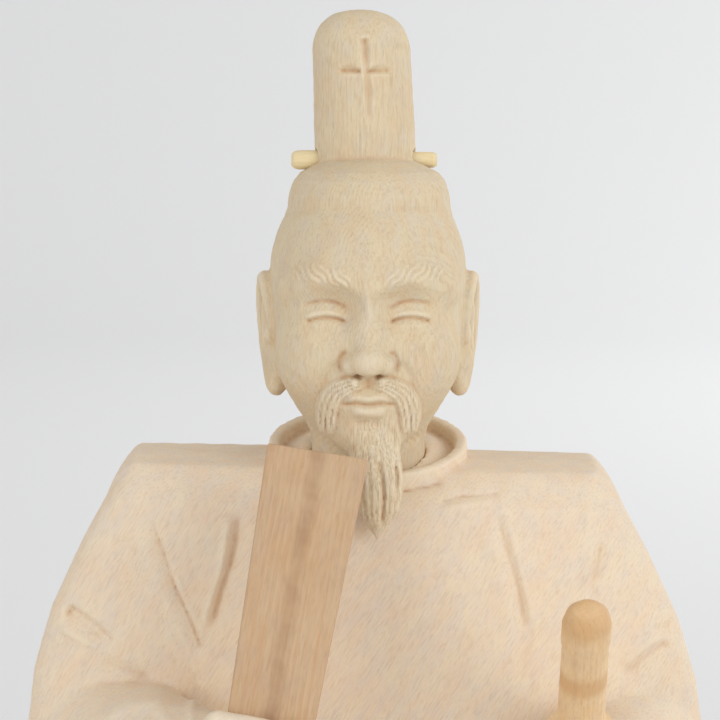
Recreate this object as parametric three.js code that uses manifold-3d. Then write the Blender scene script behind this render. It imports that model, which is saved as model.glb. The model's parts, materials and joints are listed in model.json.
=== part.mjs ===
// A seated court figure carved in pale wood: a round-collared robe with wide sleeves, a tall court
// hat with a pin through it, a baton held in the right hand, and a sword at the left hip.
// It sits on a low board. Millimetres, +Z up, facing -Y, origin at the middle of the board's underside.
import * as THREE from "three";
import { mergeVertices } from "three/addons/utils/BufferGeometryUtils.js";
import Module from "manifold-3d";

const wasm = await Module();
wasm.setup();

// Driving dimensions. Heights of the figure are measured from the top of the board; from there to
// the top of the hat it stands six old inches, of 30.3 mm each, the size such figures are named by.
const BOARD = { width: 176, depth: 132, height: 12, corner: 5, chamfer: 1.4 };
const HEAD = { y: -2, height: 51, eyeLevel: 128.1 };
const HAT = { brim: 18.3, crown: 26.6, top: 53.4, halfWidth: 8.95, halfDepth: 7.7, x: -0.45, y: 3.5, dome: 7.8 };
const HAT_LEAN = -0.038; // sideways run for each millimetre of height
const NECK = { radius: 10.4, top: -18, foot: -37 };
const PIN = { left: -14, right: 12.6, leftRadius: 1.8, rightRadius: 1.4, height: 26.2, y: 2.6 };
const COLLAR = { y: 0.6, z: 100.6, across: 17, deep: 16.2, tilt: 14, thickness: 2.5, height: 4.6 };
const BATON = {
  top: [-8.7, -31, 104.9],
  foot: [-19.9, -53, 42],
  topWidth: 17.5,
  footWidth: 13.4,
  thickness: 2.8,
  chamfer: 0.5,
};
const HILT = { from: [38, -14, 44], to: [35.6, -56, 83], width: 8.2, thickness: 6.4, guardAt: 0.27 };
const SCABBARD = { from: [41, 26, 33], to: [49, 62, 23], width: 8.6, thickness: 5.8 };
const CLOTH = { edge: 2.5, sleeve: 6 };
const PLAY = 0.3; // clearance round every piece that is let into the figure

// Distance fields: negative inside the wood, positive outside
const clamp = THREE.MathUtils.clamp;
const radians = THREE.MathUtils.degToRad;

function join(a, b, soft) {
  const h = Math.max(soft - Math.abs(a - b), 0) / soft;
  return Math.min(a, b) - (h * h * soft) / 4;
}

const cut = (a, b, soft) => -join(-a, b, soft);
const keep = (a, b, soft) => -join(-a, -b, soft);

function egg([x, y, z], [cx, cy, cz], [rx, ry, rz]) {
  const px = (x - cx) / rx;
  const py = (y - cy) / ry;
  const pz = (z - cz) / rz;
  const reach = Math.hypot(px, py, pz);
  return (reach * (reach - 1)) / Math.max(Math.hypot(px / rx, py / ry, pz / rz), 1e-6);
}

function limb([x, y, z], a, b, ra, rb) {
  const ab = [b[0] - a[0], b[1] - a[1], b[2] - a[2]];
  const ap = [x - a[0], y - a[1], z - a[2]];
  const along = ab[0] * ap[0] + ab[1] * ap[1] + ab[2] * ap[2];
  const t = clamp(along / (ab[0] ** 2 + ab[1] ** 2 + ab[2] ** 2), 0, 1);
  const off = Math.hypot(ap[0] - t * ab[0], ap[1] - t * ab[1], ap[2] - t * ab[2]);
  return off - (ra + (rb - ra) * t);
}

function chain(p, points, radii) {
  let d = Infinity;
  for (let i = 0; i + 1 < points.length; i++) {
    d = Math.min(d, limb(p, points[i], points[i + 1], radii[i], radii[i + 1]));
  }
  return d;
}

// Signed distance in a plane to a closed outline of straight edges
function outline(u, v, points) {
  let nearest = Infinity;
  let inside = false;
  for (let i = 0, j = points.length - 1; i < points.length; j = i++) {
    const [ax, ay] = points[i];
    const [bx, by] = points[j];
    const ex = bx - ax;
    const ey = by - ay;
    const t = clamp(((u - ax) * ex + (v - ay) * ey) / (ex * ex + ey * ey), 0, 1);
    nearest = Math.min(nearest, Math.hypot(u - ax - t * ex, v - ay - t * ey));
    if (ay > v !== by > v && u < ax + (ex * (v - ay)) / ey) inside = !inside;
  }
  return inside ? -nearest : nearest;
}

// Distance to a flat triangle, for cloth that hangs as a slab
function panel(p, a, b, c) {
  const corners = [a, b, c].map((corner) => new THREE.Vector3(...corner));
  const point = new THREE.Vector3(...p);
  return new THREE.Triangle(...corners).closestPointToPoint(point, new THREE.Vector3()).distanceTo(point);
}

// A raised fold along a line of points: its crest stands `rise` above the cloth
function fold(p, points, rise, spread) {
  const off = chain(p, points, points.map(() => 0));
  return rise * Math.exp(-((off / spread) ** 2));
}

// A straight piece's own frame: Z from its foot to its top, X level, Y across its thickness
function frameOf(foot, top) {
  const origin = new THREE.Vector3(...foot);
  const z = new THREE.Vector3(...top).sub(origin).normalize();
  const x = new THREE.Vector3(1, 0, 0).addScaledVector(z, -z.x).normalize();
  const y = new THREE.Vector3().crossVectors(z, x);
  return new THREE.Matrix4().makeBasis(x, y, z).setPosition(origin);
}

const lengthOf = (foot, top) => new THREE.Vector3(...foot).distanceTo(new THREE.Vector3(...top));
const through = (matrix, p) => new THREE.Vector3(...p).applyMatrix4(matrix).toArray();

// The head in its own frame: origin at eye level on the middle line, face towards -Y.
// Its features lie where the classical canon puts them, at fixed parts of the head's height.
const THIRD = HEAD.height / 3.5;
const CHIN = -HEAD.height / 2;
const BROW = CHIN + 2 * THIRD;
const NOSE_BASE = CHIN + THIRD;
const MOUTH = NOSE_BASE - THIRD / 3;
const EYE_X = HEAD.height / 7;

function headField([x, y, z]) {
  const p = [x, y, z];
  const q = [Math.abs(x), y, z];
  let d = egg(p, [0, 2, 5], [18, 21.5, 21]);
  d = join(d, egg(p, [0, -3.2, -9], [15.6, 15.6, 17]), 6);
  d = join(d, egg(q, [8.6, -10.5, -8.5], [7.4, 7, 8.5]), 4);
  d = join(d, egg(p, [0, -13.6, CHIN + 5], [7.4, 6, 5.4]), 4);
  d = join(d, chain(q, [[0, -16.6, BROW], [8, -15.6, BROW + 1.4], [13.5, -11, BROW]], [2.6, 2.8, 2]), 4);
  d = cut(d, egg(q, [EYE_X, -20.6, 0.3], [5.8, 5, 3.9]), 1.6);
  d = join(d, egg(q, [EYE_X, -12.8, -0.6], [4.8, 4.4, 3.3]), 0.6);
  d = join(d, chain(p, [[0, -16.4, 1.5], [0, -19.6, NOSE_BASE + 3.2]], [2.1, 2.8]), 2.4);
  d = join(d, egg(p, [0, -20.6, NOSE_BASE + 2.1], [3.2, 2.9, 2.5]), 1.8);
  d = join(d, egg(q, [3, -18.8, NOSE_BASE + 1.4], [1.9, 2.6, 1.9]), 1);
  d = join(d, egg(p, [0, -15.4, MOUTH], [6.6, 5, 4.2]), 2.5);
  d = join(d, egg(p, [0, -19, MOUTH + 1], [3.8, 1.8, 1.1]), 0.8);
  d = join(d, egg(p, [0, -18.8, MOUTH - 1.7], [3.6, 2, 1.2]), 0.8);
  const eyebrow = [[3.4, -18.6, BROW + 1.4], [8.5, -17.6, BROW + 3.4], [13, -13.4, BROW + 3.4]];
  d = join(d, chain(q, eyebrow, [1, 1.5, 1]), 1);
  return join(d, capField(p), 0.6);
}

// The close cap that the tall part of the hat stands on, cut to the skull and rounded in to its rim
const CAP = [
  [0, HAT.crown], [5, 26.4], [8.6, 25.6], [10.3, 24.9], [12.3, 23.8], [13.5, 22.4],
  [14.3, 20.2], [14.6, 17.5], [15.2, 15], [16.6, 10], [0, 10],
];

function capField([x, y, z]) {
  const round = outline(Math.hypot(x, (y - 2) * 0.84), z, CAP);
  const brim = HAT.brim - 0.14 * (y + 15) - z;
  return keep(round, brim, 0.5) - 0.3;
}

function earField(p) {
  let d = egg(p, [17.6, 2.5, -6.5], [2.6, 5, 11]);
  const rim = [
    [17.6, -1.6, -4], [18.8, -1.4, 1.5], [19.6, 3.4, 4.6],
    [19.8, 7, 0], [19.4, 5.6, -8], [18.6, 1.6, -15],
  ];
  d = join(d, chain(p, rim, [1, 1.3, 1.6, 1.6, 1.5, 2.3]), 1.2);
  return cut(d, egg(p, [20.6, 1.6, -4], [2.6, 2.6, 5.4]), 1);
}

// A tuft of carved hair: a tapering tube along a curve, ridged by its strands
function tuft(points, radii, strands, steps, squash = 1) {
  const curve = new THREE.CatmullRomCurve3(points.map((point) => new THREE.Vector3(...point)));
  const sides = strands * 3;
  const positions = [...curve.getPoint(0).toArray()];
  for (let j = 0; j <= steps; j++) {
    const t = j / steps;
    const at = (radii.length - 1) * t;
    const low = Math.min(Math.floor(at), radii.length - 2);
    const radius = THREE.MathUtils.lerp(radii[low], radii[low + 1], at - low);
    const along = curve.getTangent(t);
    const across = new THREE.Vector3(1, 0, 0).addScaledVector(along, -along.x).normalize();
    const out = new THREE.Vector3().crossVectors(along, across);
    for (let i = 0; i < sides; i++) {
      const turn = (2 * Math.PI * i) / sides;
      const ridge = radius * (i % 3 === 0 ? 0.84 : 1);
      const ring = curve.getPoint(t).addScaledVector(across, ridge * Math.cos(turn));
      positions.push(...ring.addScaledVector(out, ridge * squash * Math.sin(turn)).toArray());
    }
  }
  positions.push(...curve.getPoint(1).toArray());
  return closedRings(positions, sides, steps + 1);
}

const moustache = (side) => {
  const path = [
    [0.8, -20.2, NOSE_BASE - 1.6],
    [3.4, -19.8, NOSE_BASE - 1.9],
    [6, -17.8, NOSE_BASE - 3.4],
    [7.2, -16, NOSE_BASE - 6.2],
    [7.1, -15.4, NOSE_BASE - 9.2],
    [6.7, -15, NOSE_BASE - 11.8],
  ];
  return tuft(path.map(([x, y, z]) => [x * side, y, z]), [0.8, 1.4, 1.7, 1.6, 1.3, 0.5], 3, 6);
};

const beard = () => {
  const path = [
    [0.6, -15.2, CHIN + 5.5],
    [1.2, -17.8, CHIN - 0.5],
    [1.6, -19.4, CHIN - 6],
    [1.6, -19.6, CHIN - 10],
    [1.5, -19.2, CHIN - 14.2],
  ];
  return tuft(path, [4.4, 4.7, 4.7, 2.8, 0.4], 4, 8, 0.72);
};

// Rings of vertices, one after another, closed by a single vertex before and after them
function closedRings(positions, sides, rings) {
  const index = [];
  const last = positions.length / 3 - 1;
  for (let i = 0; i < sides; i++) {
    const next = (i + 1) % sides;
    index.push(0, 1 + next, 1 + i);
    index.push(last, last - sides + i, last - sides + next);
    for (let j = 0; j + 1 < rings; j++) {
      const a = 1 + j * sides + i;
      const b = 1 + j * sides + next;
      index.push(a, b, b + sides, a, b + sides, a + sides);
    }
  }
  const geometry = new THREE.BufferGeometry();
  geometry.setAttribute("position", new THREE.Float32BufferAttribute(positions, 3));
  geometry.setIndex(index);
  return geometry;
}

// The body in its own frame: origin on the board, under the middle of the seat.
// Its block is cut to two outlines: the one seen from the front and the one seen from the side.
// The block sits a little to its right, where the shoulder is the higher one.
const FRONT = [
  [0, 99.2], [41.8, 99], [45.1, 91.1], [49.3, 83.3], [54.9, 71.3],
  [58.1, 60.4], [59.4, 50], [60, 38], [62, 22], [66, -6], [0, -6],
];
const SIDE = [
  [-3, 99.2], [-10.5, 97.4], [-15, 91.8], [-16.8, 80], [-17.8, 64], [-18.6, 48], [-22, 20], [-24, -6],
  [54, -6], [48, 14], [41, 38], [37, 52], [31, 70], [25.5, 86.8], [19, 96.4], [11, 99.2],
];
const STANCE = { x: -0.45, slope: 0.024 }; // the block's middle, and its fall for each millimetre across
const ARM = { shoulder: [37, 4, 78], elbow: [48.5, -7, 49] };
const RIGHT_WRIST = [27.5, -40, 52];
const LEFT_WRIST = [31, -38, 35];

function torsoField(p) {
  const [x, y, z] = p;
  const q = [Math.abs(x - STANCE.x), y, z + STANCE.slope * x];
  const thinning = 1 + 0.42 * Math.min(q[0] / 60, 1.2) ** 2;
  let d = keep(
    outline(q[0], q[2], FRONT) - CLOTH.edge,
    outline((y - 6) * thinning + 6, q[2], SIDE) - CLOTH.edge,
    7,
  );
  d = join(d, chain(q, [[8, 0, 20], [42, -24, 8]], [24, 17]), 12);
  d = join(d, chain(q, [[44, -30, 4], [0, -38, 4]], [16, 17]), 10);
  d = join(d, panel(q, [0, -16, 44], [9, -16, 44], [15, -52, 4]) - 4, 6);
  d = join(d, panel(q, [0, -16, 44], [15, -52, 4], [0, -54, 4]) - 4, 6);
  d = join(d, panel(q, [0, 38, 44], [15, 37, 44], [20, 54, 0]) - 3, 3);
  d = join(d, panel(q, [0, 38, 44], [20, 54, 0], [0, 55, 0]) - 3, 3);
  return keep(d - drapery(p), -z, 0.4);
}

function sleeveField(p, wrist) {
  const [x, y, z] = p;
  const [wx, wy, wz] = wrist;
  let d = chain(p, [ARM.shoulder, ARM.elbow, wrist], [6, 11.6, 9.4]);
  const high = [52, -6, 44];
  const low = [wx + 3, wy + 1, wz - 5];
  const foot = [wx + 10, -50, -2];
  const knee = [62, -42, -2];
  const flare = [74, -8, -2];
  const back = [62, 26, -2];
  d = join(d, panel(p, high, low, foot) - CLOTH.sleeve, 8);
  d = join(d, panel(p, high, foot, knee) - CLOTH.sleeve, 8);
  d = join(d, panel(p, high, knee, flare) - CLOTH.sleeve, 8);
  d = join(d, panel(p, high, flare, back) - CLOTH.sleeve, 8);
  d = join(d, limb(p, ARM.elbow, [54, -16, 0], 11, 26), 4);
  return keep(d - drapery(p), -z, 0.4);
}

// Folds of the robe, most of them the same on both sides
function drapery([x, y, z]) {
  const q = [Math.abs(x), y, z];
  let rise = fold(q, [[41, -12, 94], [36, -18, 78], [30, -20, 64]], 1.6, 3);
  rise += fold(q, [[22, -17, 91], [27, -19, 76], [30, -20, 64]], 1.3, 2.6);
  rise += fold(q, [[57, -9, 72], [47, -17, 63]], 1.8, 2.6);
  rise -= fold(q, [[30, -17, 88], [31, -19, 76]], 1.4, 2.4);
  rise -= 1.6 * Math.exp(-(((z - 47) / 2.2) ** 2)) * clamp((y - 8) / 10, 0, 1);
  for (let i = 0; i < 4; i++) {
    const t = i / 3;
    rise += fold(q, [[7 + 4 * t, -24, 40], [8 + 22 * t, -56 + 3 * t, 3]], 1.3, 2.4);
    rise += fold(q, [[52 + 3 * t, -18 + 4 * t, 42], [50 + 24 * t, -48 + 36 * t, 4]], 1.5, 3);
    rise += fold(q, [[20 + 12 * t, 38 - 3 * t, 42], [26 + 30 * t, 52 - 9 * t, 3]], 1.5, 3);
  }
  return rise;
}

// The right hand's four fingers lie across the face of the baton, the thumb behind it
const BATON_FRAME = frameOf(BATON.foot, BATON.top);
const INTO_BATON = BATON_FRAME.clone().invert();
const GRIP = 13; // height of the fist's middle above the baton's foot
const FINGER = { radius: 2.1, pitch: 3.9 };

function rightHandField(p) {
  const q = through(INTO_BATON, p);
  let d = egg(q, [-7, 3.4, GRIP], [6, 6.2, 8.6]);
  for (let i = 0; i < 4; i++) {
    const height = GRIP + (i - 1.5) * FINGER.pitch;
    const bend = [[-9, 1, height], [-8.4, -3, height], [0, -4, height], [6.4, -3.4, height - 0.4]];
    d = join(d, chain(q, bend, [2.4, 2.3, 2.2, 1.8]), 0.7);
  }
  return join(d, chain(q, [[-6, 5, GRIP + 6], [3, 4.6, GRIP + 8.6]], [2.8, 2.2]), 1);
}

const LEFT_HAND = [28.5, -46, 32];

function leftHandField(p) {
  const [kx, ky, kz] = LEFT_HAND;
  let d = egg(p, [kx + 1, ky + 2, kz], [7.6, 7, 5.6]);
  for (let i = 0; i < 4; i++) {
    const x = kx + (i - 1.5) * FINGER.pitch;
    const y = ky + (i - 1.5) * 1.1;
    const bend = [[x, y - 1, kz + 3.4], [x - 0.6, y - 5.6, kz + 0.8], [x - 0.8, y - 4.4, kz - 3.8]];
    d = join(d, chain(p, bend, [2.3, 2.3, 2]), 0.7);
  }
  return join(d, chain(p, [[kx - 6, ky + 3, kz + 1.6], [kx - 7.6, ky - 4.6, kz + 1]], [2.5, 2]), 1);
}

// Turns a distance field into a closed mesh. Rings of rays leave an upright axis at the given
// stations, each a height and an elevation, and every ray ends where it first meets the wood
// on its way in from outside.
const REACH = 90;

function meet(field, root, aim) {
  const at = (t) => root.map((value, k) => value + aim[k] * t);
  let t = REACH;
  let d = field(at(t));
  while (d > 0.01 && t > 0) {
    t = Math.max(t - Math.max(d * 0.7, 0.02), 0);
    d = field(at(t));
  }
  const [x, y, z] = at(t);
  return [x, y, Math.abs(z) < 0.05 ? 0 : z];
}

// The columns crowd together by the share `bend` towards one bearing, in degrees from the front
function carve(field, [x, y], stations, columns, bend = 0, towards = 0) {
  const positions = [...meet(field, [x, y, stations[0][0]], [0, 0, -1])];
  for (const [height, elevation] of stations) {
    const up = radians(elevation);
    for (let i = 0; i < columns; i++) {
      const even = (2 * Math.PI * i) / columns;
      const turn = even - bend * Math.sin(even - radians(towards));
      const aim = [Math.cos(up) * Math.sin(turn), -Math.cos(up) * Math.cos(turn), Math.sin(up)];
      positions.push(...meet(field, [x, y, height], aim));
    }
  }
  positions.push(...meet(field, [x, y, stations.at(-1)[0]], [0, 0, 1]));
  return closedRings(positions, columns, stations.length);
}

// Stations of a ball of rays round one centre, closest together between the two elevations given
function ball(height, rows, densest = 0, pull = 0) {
  return Array.from({ length: rows }, (_, j) => {
    const even = -90 + (180 * (j + 1)) / (rows + 1);
    return [height, even - pull * Math.sin(radians(2 * (even - densest)))];
  });
}

// Stations of level rays up a column, then of rays that fan out over its top
function column(heights, elevations) {
  const top = heights.at(-1);
  return [...heights.map((height) => [height, 0]), ...elevations.map((elevation) => [top, elevation])];
}

// Booleans
function solid(geometry) {
  const bare = geometry.clone();
  for (const name of Object.keys(bare.attributes)) {
    if (name !== "position") bare.deleteAttribute(name);
  }
  const merged = mergeVertices(bare, 1e-4);
  return new wasm.Manifold(
    new wasm.Mesh({
      numProp: 3,
      vertProperties: new Float32Array(merged.attributes.position.array),
      triVerts: new Uint32Array(merged.index.array),
    }),
  );
}

function geometryOf(manifold) {
  const { numProp, vertProperties, triVerts } = manifold.getMesh();
  const positions = new Float32Array((vertProperties.length / numProp) * 3);
  for (let i = 0; i < positions.length / 3; i++) {
    positions.set(vertProperties.subarray(i * numProp, i * numProp + 3), i * 3);
  }
  const geometry = new THREE.BufferGeometry();
  geometry.setAttribute("position", new THREE.BufferAttribute(positions, 3));
  geometry.setIndex(new THREE.BufferAttribute(new Uint32Array(triVerts), 1));
  geometry.computeVertexNormals();
  return geometry;
}

const joined = (geometries) => withoutPockets(geometries.map(solid).reduce((a, b) => a.add(b)));

// Carved pieces that are joined may close a pocket of air between them: its shell faces inwards,
// and the wood is solid there, so that shell is dropped
function withoutPockets(wood) {
  const { numProp, vertProperties, triVerts } = wood.getMesh();
  const owner = Uint32Array.from({ length: vertProperties.length / numProp }, (_, i) => i);
  const shellOf = (vertex) => {
    let i = vertex;
    while (owner[i] !== i) i = owner[i];
    return i;
  };
  for (let i = 0; i < triVerts.length; i += 3) {
    const shell = shellOf(triVerts[i]);
    owner[shellOf(triVerts[i + 1])] = shell;
    owner[shellOf(triVerts[i + 2])] = shell;
  }
  const corner = (i) => new THREE.Vector3().fromArray(vertProperties, triVerts[i] * numProp);
  const volumes = new Map();
  for (let i = 0; i < triVerts.length; i += 3) {
    const shell = shellOf(triVerts[i]);
    const volume = corner(i).dot(corner(i + 1).cross(corner(i + 2))) / 6;
    volumes.set(shell, (volumes.get(shell) ?? 0) + volume);
  }
  const kept = triVerts.filter((vertex) => volumes.get(shellOf(vertex)) > 0);
  return new wasm.Manifold(new wasm.Mesh({ numProp, vertProperties, triVerts: kept }));
}

const hollowed = (wood, geometries) => geometries.map(solid).reduce((a, b) => a.subtract(b), wood);

// A turned piece about Z from a profile of [radius, height] pairs
function turned(profile, sides) {
  const points = profile.map(([radius, height]) => new THREE.Vector2(radius, height));
  return new THREE.LatheGeometry(points, sides).rotateX(Math.PI / 2);
}

// An upright post between two heights, its ends chamfered
function post(radius, low, high, sides = 20, chamfer = 0.8) {
  const profile = [[0, low], [radius - chamfer, low], [radius, low + chamfer]];
  profile.push([radius, high - chamfer], [radius - chamfer, high], [0, high]);
  return turned(profile, sides);
}

const oval = (radii, at) => new THREE.SphereGeometry(1, 8, 4).scale(...radii).translate(...at);

function hatColumn() {
  const shoulder = HAT.top - HAT.dome;
  const profile = [[0, HAT.crown - 7], [1.046, HAT.crown - 7]];
  const steps = 6;
  for (let i = 0; i <= steps; i++) {
    const t = (Math.PI / 2) * (i / steps);
    const across = i === steps ? 0 : Math.cos(t) ** 0.8;
    profile.push([across, shoulder + HAT.dome * Math.sin(t) ** 0.9]);
  }
  return turned(profile, 20)
    .scale(HAT.halfWidth, HAT.halfDepth, 1)
    .translate(HAT.x, HAT.y, -HAT.crown)
    .applyMatrix4(new THREE.Matrix4().makeShear(0, 0, 0, 0, HAT_LEAN, 0))
    .translate(0, 0, HAT.crown);
}

// The cross cut into the face of the hat: one upright notch and a short one on either side
function crossCuts() {
  const face = HAT.y - HAT.halfDepth;
  const upright = oval([0.6, 2, 7], [0, 0, 0]).rotateY(-0.08).translate(-0.1, face, 40.6);
  return [
    upright,
    oval([1.8, 1.6, 0.55], [-3.5, face + 0.5, 42.5]),
    oval([1.8, 1.6, 0.55], [2.4, face + 0.4, 42.5]),
  ];
}

// The ribbon that rises behind the hat and hangs down the back of the head
function hatTail() {
  const path = [[11, 24], [14, 36], [19, 40.5], [24.5, 37], [26.5, 22], [26.4, 4], [24.6, -14]];
  const curve = new THREE.CatmullRomCurve3(path.map(([y, z]) => new THREE.Vector3(0, y, z)));
  const strip = new THREE.Shape();
  strip.moveTo(-6, -0.9);
  strip.lineTo(6, -0.9);
  strip.lineTo(6, 0.9);
  strip.lineTo(-6, 0.9);
  strip.closePath();
  return new THREE.ExtrudeGeometry(strip, { steps: 14, extrudePath: curve, bevelEnabled: false });
}

function head() {
  const ear = carve(earField, [17.6, 2.5], ball(-6, 10), 11);
  const pieces = [
    carve(headField, [0, 1], ball(-3, 23, -4, 15), 36, 0.5),
    ear,
    mirroredX(ear),
    moustache(-1),
    moustache(1),
    beard(),
    hatColumn(),
    hatTail(),
    post(NECK.radius, NECK.foot, NECK.top, 20),
  ];
  const bore = post(PIN.leftRadius + PLAY, -20, 20, 8, 0.1)
    .rotateY(Math.PI / 2)
    .translate(0, PIN.y, PIN.height);
  return hollowed(joined(pieces), [...crossCuts(), bore]);
}

// The standing band round the neck opening
function collar() {
  const { across, deep, thickness, height, tilt, y, z } = COLLAR;
  const half = { t: thickness / 2, h: height / 2 };
  const profile = [
    [1 - half.t / across, -half.h - 3], [1 + half.t / across, -half.h - 3],
    [1 + half.t / across, half.h - 0.7], [1 + (half.t - 0.7) / across, half.h],
    [1 - (half.t - 0.7) / across, half.h], [1 - half.t / across, half.h - 0.7],
    [1 - half.t / across, -half.h - 3],
  ];
  return turned(profile, 28)
    .scale(across, deep, 1)
    .rotateX(radians(tilt))
    .translate(0, y, z);
}

// The hollow inside the band, whose floor climbs towards the neck
function neckOpening() {
  const { across, deep, thickness, tilt, y, z } = COLLAR;
  const hollow = [[0, 2.4], [0.72, 2.4], [0.96, -0.4], [1, -0.4], [1, 20], [0, 20]];
  return turned(hollow, 28)
    .scale(across - thickness / 2, deep - thickness / 2, 1)
    .rotateX(radians(tilt))
    .translate(0, y, z);
}

function mirroredX(geometry) {
  const copy = geometry.clone().scale(-1, 1, 1);
  copy.setIndex([...copy.index.array].reverse());
  return copy;
}

// The flat tapered baton, its edges chamfered; `grow` makes the socket it stands in
function baton(grow = 0) {
  const { foot, top, footWidth, topWidth, thickness, chamfer } = BATON;
  const length = lengthOf(foot, top);
  const face = new THREE.Shape();
  face.moveTo(-footWidth / 2 - grow, -grow);
  face.lineTo(footWidth / 2 + grow, -grow);
  face.lineTo(topWidth / 2 + grow, length + grow);
  face.lineTo(-topWidth / 2 - grow, length + grow);
  face.closePath();
  const depth = thickness + 2 * grow - 2 * chamfer;
  const bevel = { bevelThickness: chamfer, bevelSize: chamfer, bevelOffset: -chamfer, bevelSegments: 1 };
  return new THREE.ExtrudeGeometry(face, { depth, ...bevel })
    .translate(0, 0, -depth / 2)
    .rotateX(Math.PI / 2)
    .applyMatrix4(BATON_FRAME);
}

// A rod of oval section from one point to another: sections of [distance along it, share of its width]
function ovalRod({ from, to, width, thickness }, sections, grow) {
  const grown = sections.map(([z, share]) => [share + (2 * grow) / width, z]);
  const profile = [[0, grown[0][1]], ...grown, [0, grown.at(-1)[1]]];
  return turned(profile, 12)
    .scale(width / 2, thickness / 2, 1)
    .translate(0, 0, -grow)
    .applyMatrix4(frameOf(from, to));
}

function swordHilt(grow = 0) {
  const end = lengthOf(HILT.from, HILT.to);
  const guard = end * HILT.guardAt;
  const sections = [
    [0, 0.8], [guard - 1.6, 0.8], [guard - 1.5, 1.45], [guard, 1.55], [guard + 1.5, 1.45],
    [guard + 1.6, 0.98], [guard + 4.4, 0.98], [guard + 4.6, 0.86],
    [end - 10.6, 0.92], [end - 10.4, 1.04], [end - 3, 1.04], [end - 0.9, 0.86], [end, 0.5],
  ];
  return ovalRod(HILT, sections, grow);
}

function scabbardEnd(grow = 0) {
  const end = lengthOf(SCABBARD.from, SCABBARD.to);
  const sections = [[0, 0.94], [end - 7.2, 0.94], [end - 7, 1.05], [end - 2, 1.05], [end, 0.7]];
  return ovalRod(SCABBARD, sections, grow);
}

function body() {
  const heights = [0, 4, 9, 14, 19, 24, 30, 36, 42, 48, 54, 60, 66, 72, 78, 84];
  const stations = column(heights, [8, 14, 19, 23, 30, 42, 60, 78]);
  const sleeveStations = column([0, 6, 13, 20, 27, 34, 40, 45, 50], [12, 26, 42, 60, 78]);
  const rightSleeve = carve((p) => sleeveField(p, RIGHT_WRIST), [52, -14], sleeveStations, 26, 0.4, -30);
  const leftSleeve = carve((p) => sleeveField(p, LEFT_WRIST), [52, -14], sleeveStations, 26, 0.4, -30);
  const grip = through(BATON_FRAME, [-3, 0, GRIP]);
  const pieces = [
    carve(torsoField, [0, 6], stations, 38, 0.15),
    mirroredX(rightSleeve),
    leftSleeve,
    carve(rightHandField, grip, ball(grip[2], 12), 16),
    carve(leftHandField, LEFT_HAND, ball(LEFT_HAND[2], 10), 16),
    collar(),
  ];
  const headWorld = [0, HEAD.y, HEAD.eyeLevel];
  const socket = post(NECK.radius + PLAY, NECK.foot - PLAY, 0).translate(...headWorld);
  return hollowed(joined(pieces), [neckOpening(), socket, baton(PLAY), swordHilt(PLAY), scabbardEnd(PLAY)]);
}

function pin() {
  const { left, right, leftRadius, rightRadius } = PIN;
  const span = right - left;
  const profile = [
    [0, 0], [leftRadius - 0.5, 0], [leftRadius, 0.5], [leftRadius, 4],
    [rightRadius, span - 0.5], [rightRadius - 0.5, span], [0, span],
  ];
  return turned(profile, 12).rotateY(Math.PI / 2).translate(left, PIN.y, PIN.height);
}

function board() {
  const { width, depth, height, corner, chamfer } = BOARD;
  const plan = new THREE.Shape();
  const x = width / 2 - chamfer;
  const y = depth / 2 - chamfer;
  plan.moveTo(-x + corner, -y);
  plan.lineTo(x - corner, -y);
  plan.absarc(x - corner, -y + corner, corner, -Math.PI / 2, 0);
  plan.lineTo(x, y - corner);
  plan.absarc(x - corner, y - corner, corner, 0, Math.PI / 2);
  plan.lineTo(-x + corner, y);
  plan.absarc(-x + corner, y - corner, corner, Math.PI / 2, Math.PI);
  plan.lineTo(-x, -y + corner);
  plan.absarc(-x + corner, -y + corner, corner, Math.PI, 1.5 * Math.PI);
  const options = { depth: height - 2 * chamfer, curveSegments: 3, bevelThickness: chamfer };
  return new THREE.ExtrudeGeometry(plan, { ...options, bevelSize: chamfer, bevelSegments: 1 })
    .translate(0, 0, chamfer);
}

// The scene graph
const material = (color, roughness) => new THREE.MeshStandardMaterial({ color, roughness, metalness: 0 });
const WOOD = {
  robe: material(0xdcc8b4, 0.72),
  head: material(0xe1cdaa, 0.7),
  pin: material(0xe9d9b0, 0.65),
  baton: material(0xd2b08a, 0.68),
  sword: material(0xcfa96f, 0.6),
  board: material(0xc9ab82, 0.66),
};

const root = new THREE.Group();
const figure = new THREE.Group();
figure.position.z = BOARD.height;
const onNeck = new THREE.Group();
onNeck.position.set(0, HEAD.y, HEAD.eyeLevel);
root.add(figure);
figure.add(onNeck);

function place(name, geometry, wood, parent) {
  const mesh = new THREE.Mesh(geometry, wood);
  mesh.name = name;
  parent.add(mesh);
}

place("plinth", geometryOf(solid(board())), WOOD.board, root);
place("body", geometryOf(body()), WOOD.robe, figure);
place("shaku", geometryOf(solid(baton())), WOOD.baton, figure);
place("sword_hilt", geometryOf(solid(swordHilt())), WOOD.sword, figure);
place("sword_scabbard", geometryOf(solid(scabbardEnd())), WOOD.sword, figure);
place("head", geometryOf(head()), WOOD.head, onNeck);
place("hat_pin", geometryOf(solid(pin())), WOOD.pin, onNeck);

export default root;
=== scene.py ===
"""A seated court figure carved in pale wood, 182 mm tall, on a low board.

The figure is two carvings, the robed body and the head with its tall hat. Small pieces are let
into them: a hat pin, a flat baton, a sword hilt and the end of the scabbard. The carvings are
worked as distance fields in millimetres and meshed on a fine grid. The small pieces are modelled
with Blender's mesh operators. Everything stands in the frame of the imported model.
"""

import json
import logging
import math
from collections.abc import Callable, Iterable
from concurrent.futures import ThreadPoolExecutor
from dataclasses import dataclass, field
from enum import Enum

import bmesh
import bpy
import numpy as np
import openvdb
from mathutils import Matrix, Vector

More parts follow.
